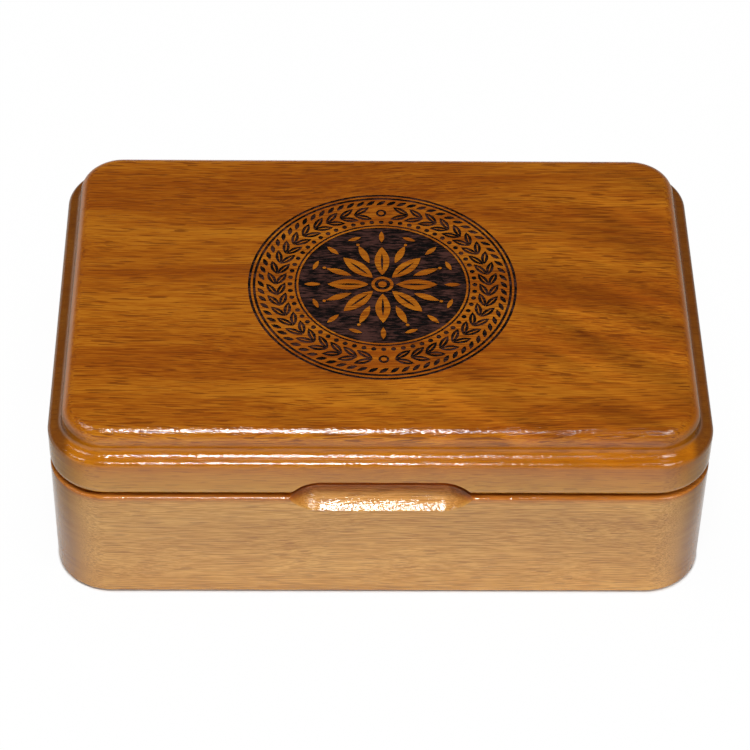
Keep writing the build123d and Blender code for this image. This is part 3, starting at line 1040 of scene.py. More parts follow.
@dataclass(frozen=True)
class Roundel:
    """The engraved round ornament: rings, a rope border, a wreath and a burnt disc with a rosette.

    Shapes are closed loops. Where an odd number of them overlap, the wood is burnt away.
    """

    centre: Point = (0.8, 1.6)
    outer_r: float = 37.6
    line_w: float = 0.75
    line_step: float = 1.35
    strand: Leaf = Leaf(3.3, 1.3, 34.0, 34.0, 6)
    strand_count: int = 72
    wreath_r: float = 29.7
    wreath_pairs: int = 20
    wreath_start: float = 10.5
    wreath_sweep: float = 159.0
    leaf_spread: float = 1.35
    leaf_tilt: float = 27.0
    leaf_size: Point = (5.6, 2.1)
    midrib_size: Point = (3.472, 0.34)
    berry_radii: Point = (1.5, 0.8)
    bead_r: float = 25.85
    bead_size: float = 0.72
    bead_count: int = 60
    disc_r: float = 23.5
    disc_line_out: float = 1.1
    disc_line_w: float = 0.55
    petals: int = 8
    petal: Leaf = Leaf(11.6, 4.2, 9.6, steps=12)
    petal_rib: Leaf = Leaf(7.2, 0.7, 9.2)
    sepal: Leaf = Leaf(7.6, 2.1, 13.2, steps=10)
    bud: Leaf = Leaf(4.6, 1.5, 19.6)
    dash: Leaf = Leaf(4.0, 1.3, 20.2, 0.0)
    dot_r: float = 17.6
    dot_size: float = 0.5
    boss_radii: Triple = (3.1, 2.2, 1.2)
    depth: float = 0.35

    @staticmethod
    def circle(radius: float, steps: int, out: float = 0.0, angle: float = 0.0) -> list[Point]:
        """Draw a circle.

        Args:
            radius: Its radius.
            steps: Number of points.
            out: Distance of its middle from the ornament's centre.
            angle: Direction of its middle, in radians.

        Returns:
            Its outline.
        """
        x, y = out * math.cos(angle), out * math.sin(angle)
        return [(x + along, y + up) for along, up in oval(radius, radius, steps)]

    def line(self, radius: float, width: float) -> Loops:
        """A burnt line round the centre, as its two edges."""
        return [self.circle(radius, 180), self.circle(radius - width, 180)]

    def rope(self) -> Loops:
        """Slanting strands between the outer rings."""
        turn = 2 * math.pi / self.strand_count
        return [self.strand.outline(turn * i) for i in range(self.strand_count)]

    def wreath(self) -> Loops:
        """Draw two branches of paired leaves with midribs, and a berry where the branches meet.

        Returns:
            The loops.
        """
        loops = []
        for branch in (1, -1):
            for i in range(self.wreath_pairs):
                swept = self.wreath_start + self.wreath_sweep * i / (self.wreath_pairs - 1)
                angle = math.radians(-90 + branch * swept)
                for side in (1, -1):
                    radius = self.wreath_r + side * self.leaf_spread
                    for length, width in (self.leaf_size, self.midrib_size):
                        leaf = Leaf(length, width, radius, -side * branch * self.leaf_tilt)
                        loops.append(leaf.outline(angle))
        for angle in (math.radians(-90), math.radians(90)):
            for radius, steps in zip(self.berry_radii, (24, 20)):
                loops.append(self.circle(radius, steps, self.wreath_r, angle))
        return loops

    def beads(self) -> Loops:
        """A ring of beads outside the disc."""
        turn = 2 * math.pi / self.bead_count
        return [self.circle(self.bead_size, 12, self.bead_r, turn * i) for i in range(self.bead_count)]

    def rosette(self) -> Loops:
        """Draw the petals, buds and boss that stand unburnt in the disc.

        Returns:
            The loops.
        """
        loops = []
        turn = 2 * math.pi / self.petals
        for i in range(self.petals):
            angle = turn * i + math.pi / 2
            between = angle + turn / 2
            loops.append(self.petal.outline(angle))
            loops.append(self.petal_rib.outline(angle))
            loops.append(self.sepal.outline(between))
            loops.append(self.bud.outline(angle))
            loops.append(self.dash.outline(between))
            loops.append(self.circle(self.dot_size, 10, self.dot_r, between))
        return loops + [self.circle(radius, steps) for radius, steps in zip(self.boss_radii, (40, 32, 24))]

    def loops(self) -> Loops:
        """Draw the whole ornament.

        Returns:
            Every loop of it.
        """
        lines = self.line(self.outer_r, self.line_w)
        lines += self.line(self.outer_r - self.line_step, self.line_w)
        lines += self.line(self.disc_r + self.disc_line_out, self.disc_line_w)
        disc = [self.circle(self.disc_r, 160)]
        return lines + self.rope() + self.wreath() + self.beads() + disc + self.rosette()

    def engrave(self, bm: bmesh.types.BMesh, rim: Sequence[bmesh.types.BMVert]) -> None:
        """Close a flat face inside a rim of vertices, with the ornament sunk into it.

        Args:
            bm: The mesh in hand.
            rim: The face's edge, anticlockwise and level.
        """
        top = rim[0].co.z
        points = [Vector((vert.co.x, vert.co.y)) for vert in rim]
        outlines = [list(range(len(rim)))]
        for loop in self.loops():
            first = len(points)
            points += [Vector(point) + Vector(self.centre) for point in loop]
            area = sum(a[0] * b[1] - b[0] * a[1] for a, b in zip(loop, loop[1:] + loop[:1]))
            order = list(range(first, first + len(loop)))
            outlines.append(order if area > 0 else order[::-1])
        places, _, triangles, sources, _, owners = geometry.delaunay_2d_cdt(points, [], outlines, 1, 1e-5)
        made: dict[tuple[int, bool], bmesh.types.BMVert] = {}

        def vert(index: int, sunk: bool) -> bmesh.types.BMVert:
            """Find or make the vertex for a place.

            Args:
                index: The place's number.
                sunk: Whether it is at the engraving's floor, not at the surface.

            Returns:
                The vertex.
            """
            if (index, sunk) not in made:
                on_rim = [source for source in sources[index] if source < len(rim)]
                if on_rim and not sunk:
                    made[index, sunk] = rim[on_rim[0]]
                else:
                    x, y = places[index]
                    made[index, sunk] = bm.verts.new((x, y, top - (self.depth if sunk else 0.0)))
            return made[index, sunk]

        sides: dict[tuple[int, int], list[bool]] = {}
        for triangle, inside in zip(triangles, owners):
            burnt = len([owner for owner in inside if owner > 0]) % 2 == 1
            face = bm.faces.new([vert(index, burnt) for index in triangle])
            face.material_index = int(burnt)
            for a, b in zip(triangle, triangle[1:] + triangle[:1]):
                sides.setdefault((min(a, b), max(a, b)), []).append(burnt)
        for (a, b), states in sides.items():
            if len(set(states)) == 2:
                wall = bm.faces.new((vert(a, False), vert(b, False), vert(b, True), vert(a, True)))
                wall.material_index = 1


# ---- Wooden case -----------------------------------------------------------------------------


@dataclass(frozen=True)
class SeamFittings:
    """What is cut across the seam: thumb scoop, back bevel, barrel room, mortises, magnet bores."""

    seam_z: float = 38.8
    gap: float = 0.3
    front_y: float = -60.5
    scoop_half: float = 25.0
    scoop_runout: float = 9.0
    scoop_lip_z: float = 33.8
    scoop_lip_degrees: float = 26.0
    scoop_r: float = 11.65
    notch_inset: float = 0.5
    notch_r: float = 6.25
    axis_y: float = 57.5
    bevel_reach: float = 8.0
    bevel_degrees: float = 50.0
    bevel_half: float = 100.0
    barrel_r: float = 1.9
    barrel_half: float = 13.2
    hinge_x: float = 52.0
    mortise_half: float = 12.55
    mortise_reach: float = 7.85
    mortise_t: float = 1.0
    magnet_x: float = 58.0
    magnet_y: float = -52.5
    magnet_r: float = 2.53
    magnet_t: float = 2.0

    def scoop(self, body: Body) -> bpy.types.Object:
        """Make the cutter for the thumb scoop: a shallow slope in the body, a round notch in the lid.

        Args:
            body: Whose half it is.

        Returns:
            The cutter.
        """
        if body is Body.LID:
            axis = Vector((0, self.front_y + self.notch_inset, self.seam_z))
            return self._spindle(axis, self.notch_r, self.notch_inset)
        lip = math.radians(self.scoop_lip_degrees)
        out = self.scoop_r * math.sin(lip)
        rise = self.scoop_lip_z + self.scoop_r * math.cos(lip)
        rim_z = self.seam_z - self.gap / 2
        axis = Vector((0, self.front_y - out, rise))
        return self._spindle(axis, self.scoop_r, math.hypot(out, rise - rim_z))

    def _spindle(self, axis: Vector, radius: float, end_radius: float, steps: int = 20) -> bpy.types.Object:
        """A turned cutter along X.

        Args:
            axis: A point of its axis, halfway along.
            radius: Radius of its straight middle.
            end_radius: Radius at its ends, reached in a round run-out.
            steps: Number of steps in a run-out.

        Returns:
            The cutter.
        """
        start = self.scoop_half - self.scoop_runout
        drop = radius - end_radius
        sweep = (self.scoop_runout**2 + drop**2) / (2 * drop)
        reach = math.asin(self.scoop_runout / sweep)
        if drop > self.scoop_runout:
            reach = math.pi - reach
        profile = []
        for step in range(steps + 1):
            turn = reach * step / steps
            profile.append((start + sweep * math.sin(turn), radius - sweep * (1 - math.cos(turn))))
        mirrored = [(-along, around) for along, around in reversed(profile)]
        return revolved("scoop_cutter", [axis], Vector((1, 0, 0)), mirrored + profile)

    def back_bevel(self) -> bpy.types.Object:
        """Make the wedge whose apex is the hinge axis.

        Returns:
            The cutter.
        """
        rise = self.bevel_reach * math.tan(math.radians(self.bevel_degrees))
        apex = Vector((-self.bevel_half, self.axis_y, self.seam_z))
        below = apex + Vector((0, self.bevel_reach, -rise))
        above = apex + Vector((0, self.bevel_reach, rise))
        return prism("bevel_cutter", [apex, below, above], Vector((2 * self.bevel_half, 0, 0)))

    def barrels(self) -> bpy.types.Object:
        """Make room for the two hinge barrels.

        Returns:
            The cutter.
        """
        places = [Vector((side * self.hinge_x, self.axis_y, self.seam_z)) for side in (-1, 1)]
        ends = [(-self.barrel_half, self.barrel_r), (self.barrel_half, self.barrel_r)]
        return revolved("barrel_cutter", places, Vector((1, 0, 0)), ends)

    def mortise(self, side_x: int, body: Body) -> bpy.types.Object:
        """Make room for one hinge leaf.

        Args:
            side_x: -1 for the left hinge, 1 for the right one.
            body: Whose leaf it is.

        Returns:
            The cutter, which reaches through the seam.
        """
        near, far = self.seam_z, self.seam_z + body.side * (self.gap / 2 + self.mortise_t)
        back, front = self.axis_y, self.axis_y - self.mortise_reach
        x = side_x * self.hinge_x - self.mortise_half
        corners = ((back, near), (front, near), (front, far), (back, far))
        section = [Vector((x, y, z)) for y, z in corners]
        return prism(f"mortise_cutter_{side_x}", section, Vector((2 * self.mortise_half, 0, 0)))

    def magnets(self, body: Body) -> bpy.types.Object:
        """Make the bores for one body's magnets.

        Args:
            body: The body.

        Returns:
            The cutter.
        """
        places = [Vector((side * self.magnet_x, self.magnet_y, self.seam_z)) for side in (-1, 1)]
        ends = [(0.0, self.magnet_r), (self.gap / 2 + self.magnet_t, self.magnet_r)]
        return revolved("magnet_cutter", places, Vector((0, 0, body.side)), ends)

    def cut_from(self, piece: bpy.types.Object, body: Body) -> None:
        """Cut every fitting out of a wooden piece and shade its faces by the large flat ones.

        Args:
            piece: The piece.
            body: The body that it is.
        """
        mortises = [self.mortise(side_x, body) for side_x in (-1, 1)]
        cut(piece, [self.scoop(body), self.back_bevel(), self.barrels(), *mortises, self.magnets(body)])
        shade(piece.data, 30.0)
        modifier = piece.modifiers.new("weighted_normals", "WEIGHTED_NORMAL")
        modifier.keep_sharp = True
        modifier.weight = 80


@dataclass(frozen=True)
class CaseBody:
    """The routed hardwood body."""

    outer: Outline
    inner: Outline
    fittings: SeamFittings
    rim_ease: float = 0.6
    foot_ease: float = 0.35
    arris: float = 0.3

    def build(self) -> None:
        """Make the body from its underside, up the outside, over the rim and down the hollow."""
        low, high = box_mm("case_body")
        floor_z = box_mm("floor_lining")[0].z
        foot = arc(self.foot_ease, low.z + self.foot_ease, self.foot_ease, -90, 0, 6)
        rim = arc(self.rim_ease, high.z - self.rim_ease, self.rim_ease, 0, 90, 9)
        rings = [self.outer.ring(inset, z) for inset, z in foot + rim]
        hollow = ((-self.arris, high.z), (0.0, high.z - self.arris), (0.0, floor_z))
        rings += [self.inner.ring(inset, z) for inset, z in hollow]
        piece = lofted("body_shell", rings)
        dress(piece, BODY_WOOD.material())
        self.fittings.cut_from(piece, Body.BASE)
        hand_over(piece, Body.BASE, "hardwood", "case_body")


@dataclass(frozen=True)
class Lid:
    """The hardwood lid with its raised, engraved panel."""

    outer: Outline
    inner: Outline
    fittings: SeamFittings
    roundel: Roundel
    lower_r: float = 3.4
    ledge_z: float = 51.85
    ledge_ease: float = 1.6
    panel_inset: float = 4.0
    cove_r: float = 2.3
    panel_ease: float = 3.6
    arris: float = 0.3

    def edge_profile(self, low_z: float, high_z: float) -> list[Point]:
        """Draw the lid's edge from its underside to the top.

        Args:
            low_z: Height of the underside.
            high_z: Height of the top.

        Returns:
            (inset, z) pairs.
        """
        cove_inset = self.panel_inset - self.cove_r
        ease_inset = self.panel_inset + self.panel_ease
        pairs = arc(self.lower_r, low_z + self.lower_r, self.lower_r, -90, 0, 12)
        pairs += arc(self.ledge_ease, self.ledge_z - self.ledge_ease, self.ledge_ease, 0, 90, 12)
        pairs += arc(cove_inset, self.ledge_z + self.cove_r, self.cove_r, -90, -180, 14)
        pairs += arc(ease_inset, high_z - self.panel_ease, self.panel_ease, 0, 90, 18)
        return pairs

    def build(self) -> None:
        """Make the lid from its hollow, round the underside and edge, to the engraved panel."""
        low, high = box_mm("lid_block")
        hollow_z = box_mm("lid_board")[1].z
        hollow = ((0.0, hollow_z), (0.0, low.z + self.arris), (-self.arris, low.z))
        rings = [self.inner.ring(inset, z) for inset, z in hollow]
        rings += [self.outer.ring(inset, z) for inset, z in self.edge_profile(low.z, high.z)]
        bm = bmesh.new()
        rows = loft(bm, rings)
        bm.faces.new(rows[0])
        self.roundel.engrave(bm, rows[-1])
        piece = to_object(bm, "lid_shell")
        dress(piece, LID_WOOD.material(), BURNT.material())
        self.fittings.cut_from(piece, Body.LID)
        hand_over(piece, Body.LID, "hardwood", "lid_block")


@dataclass(frozen=True)
class BaseFelt:
    """The felt under the case, its cut edge a little ragged.

    Attributes:
        outer: The case's outline.
        inset: The sheet's margin inside it.
        feather: How far in the edge's roundness starts, below and above.
        curl: How far in and up the edge has come at its lower bend.
        straight_z: Height above the underside from which the edge stands straight.
        nap_drop: Depth of its upper bend.
        rag: How far the cut edge wanders in.
        rag_scale: How quickly it does.
    """

    outer: Outline
    inset: float = 3.0
    feather: float = 1.2
    curl: Point = (0.15, 0.05)
    straight_z: float = 0.4
    nap_drop: float = 0.02
    rag: float = 0.12
    rag_scale: float = 0.6

    def build(self) -> None:
        """Make the sheet with a soft, uneven edge."""
        low, high = box_mm("base_felt")
        curl_in, curl_up = self.curl
        edge = (
            (self.feather, low.z), (curl_in, low.z + curl_up), (0.0, low.z + self.straight_z),
            (0.0, high.z - self.nap_drop), (self.feather, high.z),
        )
        rings = []
        for inset, z in edge:
            rings.append([self._fray(point) for point in self.outer.ring(self.inset + inset, z)])
        piece = lofted("felt_sheet", rings, 50.0)
        dress(piece, FELT.material())
        hand_over(piece, Body.BASE, "felt", "base_felt")

    def _fray(self, point: Vector) -> Vector:
        """Move an edge point in by a small uneven amount.

        Args:
            point: The point.

        Returns:
            Where it goes.
        """
        share = noise.noise(point * self.rag_scale) * 0.5 + 0.5
        inward = Vector((-point.x, -point.y, 0)).normalized()
        return point + inward * (self.rag * share)


# ---- Linings and pads ------------------------------------------------------------------------


@dataclass(frozen=True)
class Pad:
    """A slab of wadding under cloth, swollen by a short cloth simulation.

    Attributes:
        name: The piece's name.
        body: The body that backs it: the base from below, the lid from above.
        outline: The hollow that it lies in.
        low_z: Its lowest height.
        high_z: Its highest height.
        start_inset: How far inside the outline the plain slab is.
        final_inset: How far inside it the swollen pad must stay.
        pressure: The wadding's pressure.
        cap: How far any point may move.
        backing: How deep the pinned layer at the backed face is.
        ease: Radius of the slab's free edge.
        voxel: Size of the mesh that is simulated.
        frames: Number of simulated frames.
        cutter_rise: Height of the recess's cutter, past the free face.
    """

    name: str
    body: Body
    outline: Outline
    low_z: float
    high_z: float
    start_inset: float
    final_inset: float
    pressure: float
    cap: float
    backing: float
    ease: float = 1.4
    voxel: float = 2.2
    frames: int = 20
    cutter_rise: float = 30.0

    @property
    def faces(self) -> Point:
        """Heights of the backed face and of the free one."""
        return (self.low_z, self.high_z) if self.body is Body.BASE else (self.high_z, self.low_z)

    def slab(self, recess: Sequence[Point] = (), recess_depth: float = 0.0) -> bpy.types.Object:
        """The plain slab that the simulation starts from.

        Args:
            recess: Outline of a recess in the free face, or nothing.
            recess_depth: Its depth.

        Returns:
            The slab.
        """
        backed, free = self.faces
        inward = self.body.side
        rings = [self.outline.ring(self.start_inset, backed)]
        for inset, rise in arc(self.ease, 0.0, self.ease, 0, 90, 5):
            rings.append(self.outline.ring(self.start_inset + inset, free + inward * (self.ease - rise)))
        piece = lofted(self.name, rings, 180.0)
        if recess:
            section = [Vector((x, y, free + inward * recess_depth)) for x, y in recess]
            cut(piece, [prism("recess_cutter", section, Vector((0, 0, -inward * self.cutter_rise)))])
        return piece

    def swell(self, piece: bpy.types.Object) -> None:
        """Remesh the slab, blow it up with the cloth solver, and hold it inside its space.

        Args:
            piece: The slab; its mesh is replaced.
        """
        remesh = piece.modifiers.new("remesh", "REMESH")
        remesh.mode = "VOXEL"
        remesh.voxel_size = self.voxel * MM
        bake_modifiers(piece)
        start = [vert.co.copy() for vert in piece.data.vertices]
        self._simulate(piece)
        reach = self.cap * MM
        backed = self.faces[0]
        for vert, first in zip(piece.data.vertices, start):
            moved = vert.co - first
            if moved.length > reach:
                moved = moved * (reach / moved.length)
            inside = self.outline.held((first + moved) / MM, self.final_inset)
            inside.z = max(backed, inside.z) if self.body is Body.BASE else min(backed, inside.z)
            vert.co = inside * MM
        smooth = piece.modifiers.new("smooth", "SMOOTH")
        smooth.factor = 0.5
        smooth.iterations = 2
        finer = piece.modifiers.new("finer", "SUBSURF")
        finer.levels = 1
        finer.render_levels = 1
        bake_modifiers(piece)
        shade(piece.data, 60.0)

    def _simulate(self, piece: bpy.types.Object) -> None:
        """Run the cloth solver with pressure and no gravity, the backed face pinned.

        Args:
            piece: The remeshed slab; its mesh is replaced.
        """
        backed = []
        for vert in piece.data.vertices:
            if (self.faces[0] - vert.co.z / MM) * self.body.side < self.backing:
                backed.append(vert.index)
        group = piece.vertex_groups.new(name="backed")
        group.add(backed, 1.0, "REPLACE")
        cloth = piece.modifiers.new("cloth", "CLOTH")
        cloth.settings.vertex_group_mass = group.name
        cloth.settings.use_pressure = True
        cloth.settings.uniform_pressure_force = self.pressure
        cloth.settings.effector_weights.gravity = 0.0
        cloth.settings.bending_stiffness = 0.4
        cloth.point_cache.frame_start = 1
        cloth.point_cache.frame_end = self.frames
        for number in range(1, self.frames + 1):
            bpy.context.scene.frame_set(number)
        bake_modifiers(piece)
        bpy.context.scene.frame_set(1)


@dataclass(frozen=True)
class BadgeInsert:
    """The velvet cushion with its oval recess and its welts."""

    inner: Outline
    recess_x: float = 30.0
    recess_y: float = 38.0
    recess_depth: float = 7.0
    swell_room: float = 0.4
    edge_inset: float = 2.05
    edge_welt_in: float = 2.6
    recess_welt_out: float = 1.5
    welt_r: float = 0.7
    welt_sunk: float = 0.25
    welt_pitch: float = 1.6
    evened: int = 4

    def recess(self, grow: float) -> list[Point]:
        """The recess's outline, made larger by grow."""
        return oval(self.recess_x + grow, self.recess_y + grow, 96)

    def build(self) -> list[bpy.types.Object]:
        """Make the cushion and its welts.

        Returns:
            The two pieces that the ribbon crosses.
        """
        low, high = box_mm("badge_cushion")
        pad = Pad(
            "velvet_cushion", Body.BASE, self.inner, low.z, high.z,
            start_inset=2.6, final_inset=self.edge_inset, pressure=1.6, cap=1.9, backing=1.5,
        )
        piece = pad.slab(self.recess(self.swell_room), self.recess_depth - self.swell_room)
        pad.swell(piece)
        dress(piece, VELVET.material())
        hand_over(piece, Body.BASE, "velvet_pad", "badge_cushion")
        round_recess = [Vector((x, y, 0)) for x, y in self.recess(self.recess_welt_out)]
        self._welt(piece, "recess_welt", round_recess)
        edge = self.inner.ring(self.edge_inset + self.edge_welt_in, 0.0)
        return [piece, self._welt(piece, "edge_welt", edge)]

    def _welt(self, cushion: bpy.types.Object, name: str, line: Sequence[Vector]) -> bpy.types.Object:
        """Lay a covered cord on the cushion along a closed line.

        Args:
            cushion: The cushion.
            name: The cord's name.
            line: The line, seen from above.

        Returns:
            The cord.
        """
        path = []
        for point in evenly(line, self.welt_pitch):
            level = top_of(cushion, point.x, point.y) + self.welt_r - self.welt_sunk
            path.append(Vector((point.x, point.y, level)))
        levels = [point.z for point in path]
        for i, point in enumerate(path):
            near = [levels[(i + step) % len(path)] for step in range(-self.evened, self.evened + 1)]
            point.z = sum(near) / len(near)
        welt = tube(name, path, self.welt_r)
        dress(welt, PIPING.material())
        hand_over(welt, Body.BASE, "velvet_pad")
        return welt


@dataclass(frozen=True)
class WallLining:
    """The velvet-covered band round the inside of the body."""

    inner: Outline
    fit: float = 0.1
    roll: float = 0.6
    puff: float = 0.12
    rows: int = 10

    def build(self) -> None:
        """Make the band with a rolled top edge and slightly full sides."""
        low, high = box_mm("wall_lining")
        roll_z = high.z - self.roll
        section = [(self.fit, low.z), (self.fit, roll_z)]
        section += arc(self.fit + self.roll, roll_z, self.roll, 0, 180, 10)[1:]
        for row in range(1, self.rows + 1):
            share = row / self.rows
            bulge = self.puff * math.sin(math.pi * share) ** 0.5 if share < 1 else 0.0
            section.append((self.fit + 2 * self.roll + bulge, roll_z - share * (roll_z - low.z)))
        bm = bmesh.new()
        loft(bm, [self.inner.ring(inset, z) for inset, z in section], closed=True)
        piece = to_object(bm, "velvet_wall", 60.0)
        dress(piece, VELVET.material())
        hand_over(piece, Body.BASE, "velvet", "wall_lining")


@dataclass(frozen=True)
class SoftSlab:
    """A plain sheet or block with softened edges, under the insert."""

    name: str
    node: str
    outline: Outline
    inset: float
    ease: float
    slot: str
    fill: float

    def build(self, finish: bpy.types.Material) -> None:
        """Make the slab where its CAD node is.

        Args:
            finish: Its material.
        """
        low, high = box_mm(self.node)
        pairs = arc(self.ease, low.z + self.ease, self.ease, -90, 0, 4)
        pairs += arc(self.ease, high.z - self.ease, self.ease, 0, 90, 4)
        piece = lofted(self.name, [self.outline.ring(self.inset + inset, z) for inset, z in pairs], 60.0)
        dress(piece, finish)
        hand_over(piece, Body.BASE, self.slot, self.node)


@dataclass(frozen=True)
class PullRibbon:
    """The ribbon that lifts the insert out: up beside it, over its edge and along its top.

    Attributes:
        width: Across the ribbon.
        thick: Its thickness.
        notch: Depth of the notch in its tail.
        notch_steps: Points of the tail over which the notch opens.
        lift: Its clearance above the insert.
        gap: Its clearance from the outer side of its space.
        turn_r: Radius of the turn over the insert's edge.
        turn_drop: How far the turn's crown is below the top of its space.
        turn_steps: Steps in the turn.
        rise_pitch: Spacing of the points beside the insert.
        rise_points: The most points beside the insert.
        run_steps: Steps along the insert's top.
        reach: Neighbours on each side that even out its height.
        feelers: Where it feels for the insert, as shares of its width.
        wave: How high its slack waves stand.
        wave_turn: The wave's turn from one point to the next, in radians.
        wave_start: Points over which the wave comes in.
        threads: Steps across it.
        selvedge: How much thicker its edges are, on each face.
        selvedge_share: Width of each thick edge, as a share of the ribbon's.
    """

    width: float = 10.0
    thick: float = 0.3
    notch: float = 3.0
    notch_steps: int = 5
    lift: float = 0.12
    gap: float = 0.03
    turn_r: float = 1.3
    turn_drop: float = 1.0
    turn_steps: int = 8
    rise_pitch: float = 0.8
    rise_points: int = 14
    run_steps: int = 34
    reach: int = 3
    feelers: tuple[float, ...] = (-0.48, -0.24, 0.0, 0.24, 0.48)
    wave: float = 0.5
    wave_turn: float = 0.15
    wave_start: int = 8
    threads: int = 12
    selvedge: float = 0.06
    selvedge_share: float = 0.1

    def _run_heights(self, below: Sequence[bpy.types.Object], run: Sequence[float]) -> list[float]:
        """How high the ribbon lies along the insert's top.

        Args:
            below: The pieces it lies on.
            run: Places along X.

        Returns:
            The height of its middle at each place.
        """
        lines = [self.width * share for share in self.feelers]
        tops = [max(top_of(piece, x, y) for piece in below for y in lines) for x in run]
        spans = [slice(max(i - self.reach, 0), i + self.reach + 1) for i in range(len(run))]
        crests = [max(tops[span]) for span in spans]
        heights = []
        for i, span in enumerate(spans):
            near = crests[span]
            wave = self.wave * math.sin(i * self.wave_turn) ** 2 * min(1.0, i / self.wave_start)
            heights.append(sum(near) / len(near) + self.lift + self.thick / 2 + wave)
        return heights

    def centreline(self, below: Sequence[bpy.types.Object], low: Vector, high: Vector) -> list[Vector]:
        """Points along the middle of the ribbon.

        Args:
            below: The pieces it lies on.
            low: Lowest corner of the ribbon's space.
            high: Highest corner of it.

        Returns:
            The points, from the hidden end to the tail.
        """
        side_x = high.x - self.thick / 2 - self.gap
        start_x = side_x - self.turn_r
        corner_z = high.z - self.turn_drop
        line = [Vector((side_x, 0, low.z + step * self.rise_pitch)) for step in range(self.rise_points)]
        line = [point for point in line if point.z < corner_z - self.turn_r]
        for step in range(self.turn_steps + 1):
            angle = math.pi / 2 * step / self.turn_steps
            x = side_x - self.turn_r * (1 - math.cos(angle))
            line.append(Vector((x, 0, corner_z - self.turn_r * (1 - math.sin(angle)))))
        run = [start_x - (start_x - low.x) * (step + 1) / self.run_steps for step in range(self.run_steps)]
        line += [Vector((x, 0, z)) for x, z in zip(run, self._run_heights(below, run))]
        return line

    def build(self, below: Sequence[bpy.types.Object]) -> None:
        """Make the ribbon with selvedges and a notched tail.

        Args:
            below: The pieces it lies on.
        """
        low, high = box_mm("pull_ribbon")
        line = self.centreline(below, low, high)
        last = len(line) - 1
        rings = []
        for i, point in enumerate(line):
            forward = (line[min(i + 1, last)] - line[max(i - 1, 0)]).normalized()
            up = Vector((0, 1, 0)).cross(forward)
            near_end = max(0.0, (i - last + self.notch_steps) / self.notch_steps)
            ring = []
            for face in (1, -1):
                for j in range(self.threads + 1):
                    share = j / self.threads if face > 0 else 1 - j / self.threads
                    at_edge = min(share, 1 - share) < self.selvedge_share
                    rise = self.thick / 2 + (self.selvedge if at_edge else 0.0)
                    tail = self.notch * (1 - abs(2 * share - 1)) * near_end
                    across = Vector((0, (share - 0.5) * self.width, 0))
                    ring.append(point + across - forward * tail + up * (face * rise))
            rings.append(ring)
        piece = lofted("lift_ribbon", rings, 50.0)
        dress(piece, GOLD_RIBBON.material())
        hand_over(piece, Body.BASE, "ribbon", "pull_ribbon")


@dataclass(frozen=True)
class LidLining:
    """The champagne satin pad in the lid, its edge turned under a twisted cord.

    Attributes:
        inner: The hollow's outline.
        cord_r: The cord's radius.
        cord_inset: The cord's gap from the hollow's wall.
        cord_rise: Height of its middle above the pad's free face.
        cord_pitch: Spacing of the points along it.
        twist_points: Points in one turn of the twist.
        strands: How many strands are twisted together.
        lay_share: Distance of a strand's middle from the cord's, as a share of the cord's radius.
        strand_share: A strand's radius, as a share of the cord's.
        corner_in: Inset of the outline that the twist's inward side faces.
        gather_depth: How deep the gathers are at the edge.
        gather_reach: How far in from the edge they fade out.
        gather_fade: Power of that fading.
        gather_top: Depth under the backed face that stays plain.
        fold_scale: How quickly the gathers follow each other along the edge.
        fold_drift: How quickly they change inward.
        fold_seed: Where they are taken from the noise.
    """

    inner: Outline
    cord_r: float = 0.95
    cord_inset: float = 0.5
    cord_rise: float = 1.1
    cord_pitch: float = 0.45
    twist_points: int = 9
    strands: int = 2
    lay_share: float = 0.5
    strand_share: float = 0.55
    corner_in: float = 4.0
    gather_depth: float = 1.7
    gather_reach: float = 22.0
    gather_fade: float = 1.5
    gather_top: float = 1.0
    fold_scale: float = 0.3
    fold_drift: float = 0.03
    fold_seed: float = 3.7

    def build(self) -> None:
        """Make the pad and its cord."""
        low, high = box_mm("lid_cushion")
        pad = Pad(
            "satin_pad", Body.LID, self.inner, low.z, high.z,
            start_inset=1.6, final_inset=0.7, pressure=2.4, cap=3.2, backing=1.2,
        )
        piece = pad.slab()
        pad.swell(piece)
        self._gather(piece, high.z)
        dress(piece, CHAMPAGNE.material())
        hand_over(piece, Body.LID, "lid_pad", "lid_cushion")
        self._cord(low.z)

    def _gather(self, piece: bpy.types.Object, high_z: float) -> None:
        """Press small gathers into the cloth where it turns under the edge.

        Args:
            piece: The pad.
            high_z: Height of its backed face.
        """
        for vert in piece.data.vertices:
            point = vert.co / MM
            if point.z > high_z - self.gather_top:
                continue
            to_end, to_side = self.inner.half_x - abs(point.x), self.inner.half_y - abs(point.y)
            edge = min(to_end, to_side)
            along = point.y if to_end < to_side else point.x
            fold = noise.noise(Vector((along * self.fold_scale, self.fold_seed, edge * self.fold_drift)))
            share = max(0.0, 1 - edge / self.gather_reach) ** self.gather_fade
            vert.co.z += fold * share * self.gather_depth * MM

    def _cord(self, low_z: float) -> None:
        """Wind a twisted cord round the pad's edge.

        Args:
            low_z: Height of the pad's free face.
        """
        route = self.inner.ring(self.cord_r + self.cord_inset, low_z + self.cord_rise)
        line = evenly(route, self.cord_pitch)
        turns = round(len(line) / self.twist_points)
        for strand in range(self.strands):
            path = []
            for i, point in enumerate(line):
                angle = 2 * math.pi * (turns * i / len(line) + strand / self.strands)
                inward = self.inner.held(point, self.corner_in) - point
                inward.z = 0
                inward.normalize()
                swing = inward * math.cos(angle) + Vector((0, 0, math.sin(angle)))
                path.append(point + swing * (self.cord_r * self.lay_share))
            cord = tube(f"lid_cord_{strand + 1}", path, self.cord_r * self.strand_share)
            dress(cord, GOLD_CORD.material())
            hand_over(cord, Body.LID, "lid_pad")


